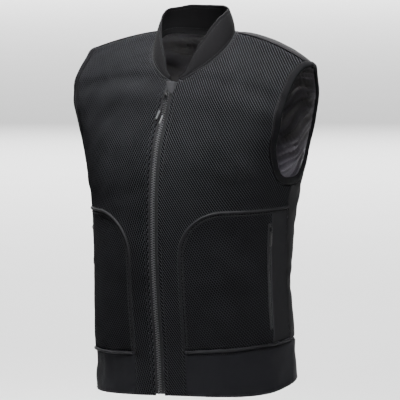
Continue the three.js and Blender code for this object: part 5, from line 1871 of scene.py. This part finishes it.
@dataclass
class PocketZips(ZipPart):
    """The pockets' zips: welt, coil, slider, puller and cord."""

    turn: float = 70.5
    drop: float = 26.0
    length: float = 196.0
    welt: float = 8.0
    height: float = 1.8
    pitch: float = 1.5
    slider_drop: float = 11.0
    slider_length: float = 9.9
    slider_width: float = 6.88
    puller: float = 26.0
    puller_half: float = 3.1
    cord_length: float = 22.0
    tip_length: float = 11.9
    # One half of the welt's grooved section, from its foot in to the coil: shares of the half
    # width and of the height.
    lip: tuple[tuple[float, float], ...] = (
        (0.86, 0.8), (0.6, 1), (0.42, 0.86), (0.36, 0.2))

    def spots(self, level: Array, offset: float, side: Side) -> Place:
        """Points and outward directions down the zip's line, above the pocket's face."""
        root = np.sqrt(-level)
        turn = np.full(np.shape(root), self.turn)
        lift = self.tailor.bulge(turn, root) + offset + self.tailor.fit
        return self.tailor.torso.folded(turn, root, lift, side.value)

    def build(self, side: Side, count: int = 160) -> None:
        """Builds one pocket's zip."""
        top = self.tailor.pocket_top - self.drop
        points, out = self.spots(np.linspace(top, top - self.length, count), 0.0, side)
        half, high = self.welt / 2, self.height
        ends = np.minimum(1, 0.55 + np.minimum(np.arange(count), np.arange(count)[::-1]) / 6)
        lip = np.array(self.lip) * (half, high)
        section = np.concatenate([[(-half, -0.6), (half, -0.6), (half * 1.02, 0.2)], lip,
                                  lip[::-1] * (-1, 1), [(-half * 1.02, 0.2)]])
        welt = swept(points, out, section * np.stack([ends, np.ones(count)], -1)[:, None])
        welt.build(f"pocket_welt_{side.word}", self.finishes.welt, "zip_tape",
                   [f"pocket_zip_{side.word}"])
        across = np.array([-1.05, -0.7, 0, 0.7, 1.05])
        arch = np.stack([across, 0 * across, 0 * across + high * 0.45], -1)
        thick = np.array([0.2, 0.5, 0.55, 0.5, 0.2])[:, None] * (1, 1)
        at = np.arange(2.0, cumulative(points)[-1] - 2, self.pitch)
        coil(points, out, at, arch, thick).build(
            f"pocket_teeth_{side.word}", self.finishes.plastic, "zip_teeth", sharp=60)
        self.pull(side, top - self.slider_drop)

    def pull(self, side: Side, head: float) -> None:
        """The slider, the moulded puller and the cord with its end, hanging down the zip."""
        word = side.word
        rest = self.height + self.tailor.fit
        points, out = self.spots(head + np.arange(-1, 2), rest, side)
        slider = SliderShape(self.slider_length, self.slider_width)
        slider.seated(points[1], self.axes(points, out)).build(
            f"pocket_slider_{word}", self.finishes.metal, "slider_metal",
            [f"pocket_zip_slider_{word}"])
        start = head - self.slider_length / 2 - 0.2
        tail = start - self.puller
        points, out = self.spots(np.linspace(start, tail, 30), rest + 1.5, side)
        share = np.linspace(0, 1, 30)
        ends = np.sqrt(np.clip(1 - np.abs(2 * share - 1) ** 10, 0.04, 1))
        wide = self.puller_half * mix(1, 0.8, share) * ends * (1 - 0.14 * bell(share, 0.3, 0.1))
        high = 1.2 * ends * (1 - 0.2 * bell(share, 0.55, 0.12))
        section = squared_oval(16, 0.6) * np.stack([wide, high], -1)[:, None]
        swept(points, out, section).build(f"pocket_puller_{word}", self.finishes.plastic,
                                          "puller_plastic", [f"pocket_zip_puller_{word}"])
        tail -= 0.3
        end = tail - self.cord_length - self.tip_length + 2
        path, out = self.spots(np.linspace(tail, end, 34), rest + self.tip_radius, side)
        inner, away = self.spots(np.linspace(tail - self.cord_length, end - 1.6, 24),
                                 rest + self.tip_radius, side)
        self.hang((f"pocket_cord_{word}", f"pocket_tip_{word}"), path, out,
                  moulded_end(inner, away[0], self.tip_radius), self.finishes.dark_tip,
                  (f"pocket_pull_cord_{word}", f"pocket_pull_tip_{word}"))


# ------------------------------------------------------------------------------ studio


@dataclass(frozen=True)
class Lamp:
    """One square area light: its place and size in metres, watts, and spread in degrees. A broad
    one faces the vest's middle; one with a narrower spread faces its shoulders."""

    name: str
    place: tuple[float, float, float]
    power: float
    size: float
    spread: float = 180.0


@dataclass
class Studio:
    """The camera at the photograph's angle, the soft lights and the pale floor."""

    azimuth: float = 31.0
    elevation: float = 5.5
    distance: float = 6.0
    lens: float = 300.0
    target: tuple[float, float, float] = (0.0, 0.0, -0.3)
    shoulders: tuple[float, float, float] = (0.02, -0.06, 0.0)
    shift: tuple[float, float] = (0.01, -0.0048)
    world: float = 0.46
    floor_level: float = -0.95
    floor_half: float = 60.0
    lamps: tuple[Lamp, ...] = (
        Lamp("key", (1.5, -1.5, 2.4), 13.0, 0.9, 25.0),
        Lamp("top", (-0.3, -0.35, 2.5), 23.0, 0.9, 25.0),
        Lamp("fill", (-2.6, -1.6, 1.6), 5.0, 1.8),
        Lamp("back", (-4.1, 6.9, 4.0), 1100.0, 8.0),
        Lamp("far", (-14.0, 24.0, 9.0), 9000.0, 24.0),
        Lamp("rim", (-1.3, 2.2, 2.2), 60.0, 1.4))

    @staticmethod
    def add(name: str, data: bpy.types.ID) -> bpy.types.Object:
        """A new object in the scene with the given data."""
        made = bpy.data.objects.new(name, data)
        bpy.context.scene.collection.objects.link(made)
        return made

    def build(self) -> None:
        """Places the camera, the lights, the world and the floor."""
        a, e = np.radians(self.azimuth), np.radians(self.elevation)
        back = Vector((np.sin(a) * np.cos(e), -np.cos(a) * np.cos(e), np.sin(e)))
        data = bpy.data.cameras.new("camera")
        data.lens, data.sensor_width = self.lens, 36.0
        data.shift_x, data.shift_y = self.shift
        data.clip_end = 60.0
        camera = self.add("camera", data)
        camera.location = Vector(self.target) + back * self.distance
        camera.rotation_euler = (-back).to_track_quat("-Z", "Y").to_euler()
        bpy.context.scene.camera = camera
        for lamp in self.lamps:
            self.light(lamp)
        world = bpy.data.worlds.new("world")
        world.use_nodes = True
        world.node_tree.nodes["Background"].inputs[0].default_value = (1, 1, 1, 1)
        world.node_tree.nodes["Background"].inputs[1].default_value = self.world
        bpy.context.scene.world = world
        mesh = bpy.data.meshes.new("floor")
        corners = [(-1, -1), (1, -1), (1, 1), (-1, 1)]
        mesh.from_pydata([(x * self.floor_half, y * self.floor_half, self.floor_level)
                          for x, y in corners], [], [(0, 1, 2, 3)])
        mesh.materials.append(Ground().make())
        self.add("floor", mesh)

    def light(self, lamp: Lamp) -> None:
        """Adds one area light, turned to what it faces."""
        data = bpy.data.lights.new(lamp.name, "AREA")
        data.energy, data.size, data.spread = lamp.power, lamp.size, float(np.radians(lamp.spread))
        made = self.add(lamp.name, data)
        made.location = lamp.place
        aim = Vector(self.target if lamp.spread == 180.0 else self.shoulders)
        made.rotation_euler = (aim - made.location).to_track_quat("-Z", "Y").to_euler()


def main() -> None:
    """Builds the studio and every piece of the vest."""
    logging.basicConfig(level=logging.INFO, format="%(message)s")
    Studio().build()
    tailor, finishes = Tailor(), Finishes()
    right = Tailor(Torso(front_edge=RIGHT_FRONT, seam_root=tailor.torso.seam_root))
    stitcher = Stitcher(tailor, finishes)
    lining = Lining(tailor, finishes)
    FrontZip(tailor, finishes).build()
    for side, cut in ((Side.LEFT, tailor), (Side.RIGHT, right)):
        PocketZips(cut, finishes).build(side)
        FrontPieces(cut, finishes, stitcher).build(side)
        ArmBinding(cut, finishes, stitcher).build(side)
        lining.front(side, cut)
    BackAndBand(tailor, finishes, stitcher).build()
    Collar(tailor, finishes, stitcher).build()
    lining.back()


if __name__ == "__main__":
    main()
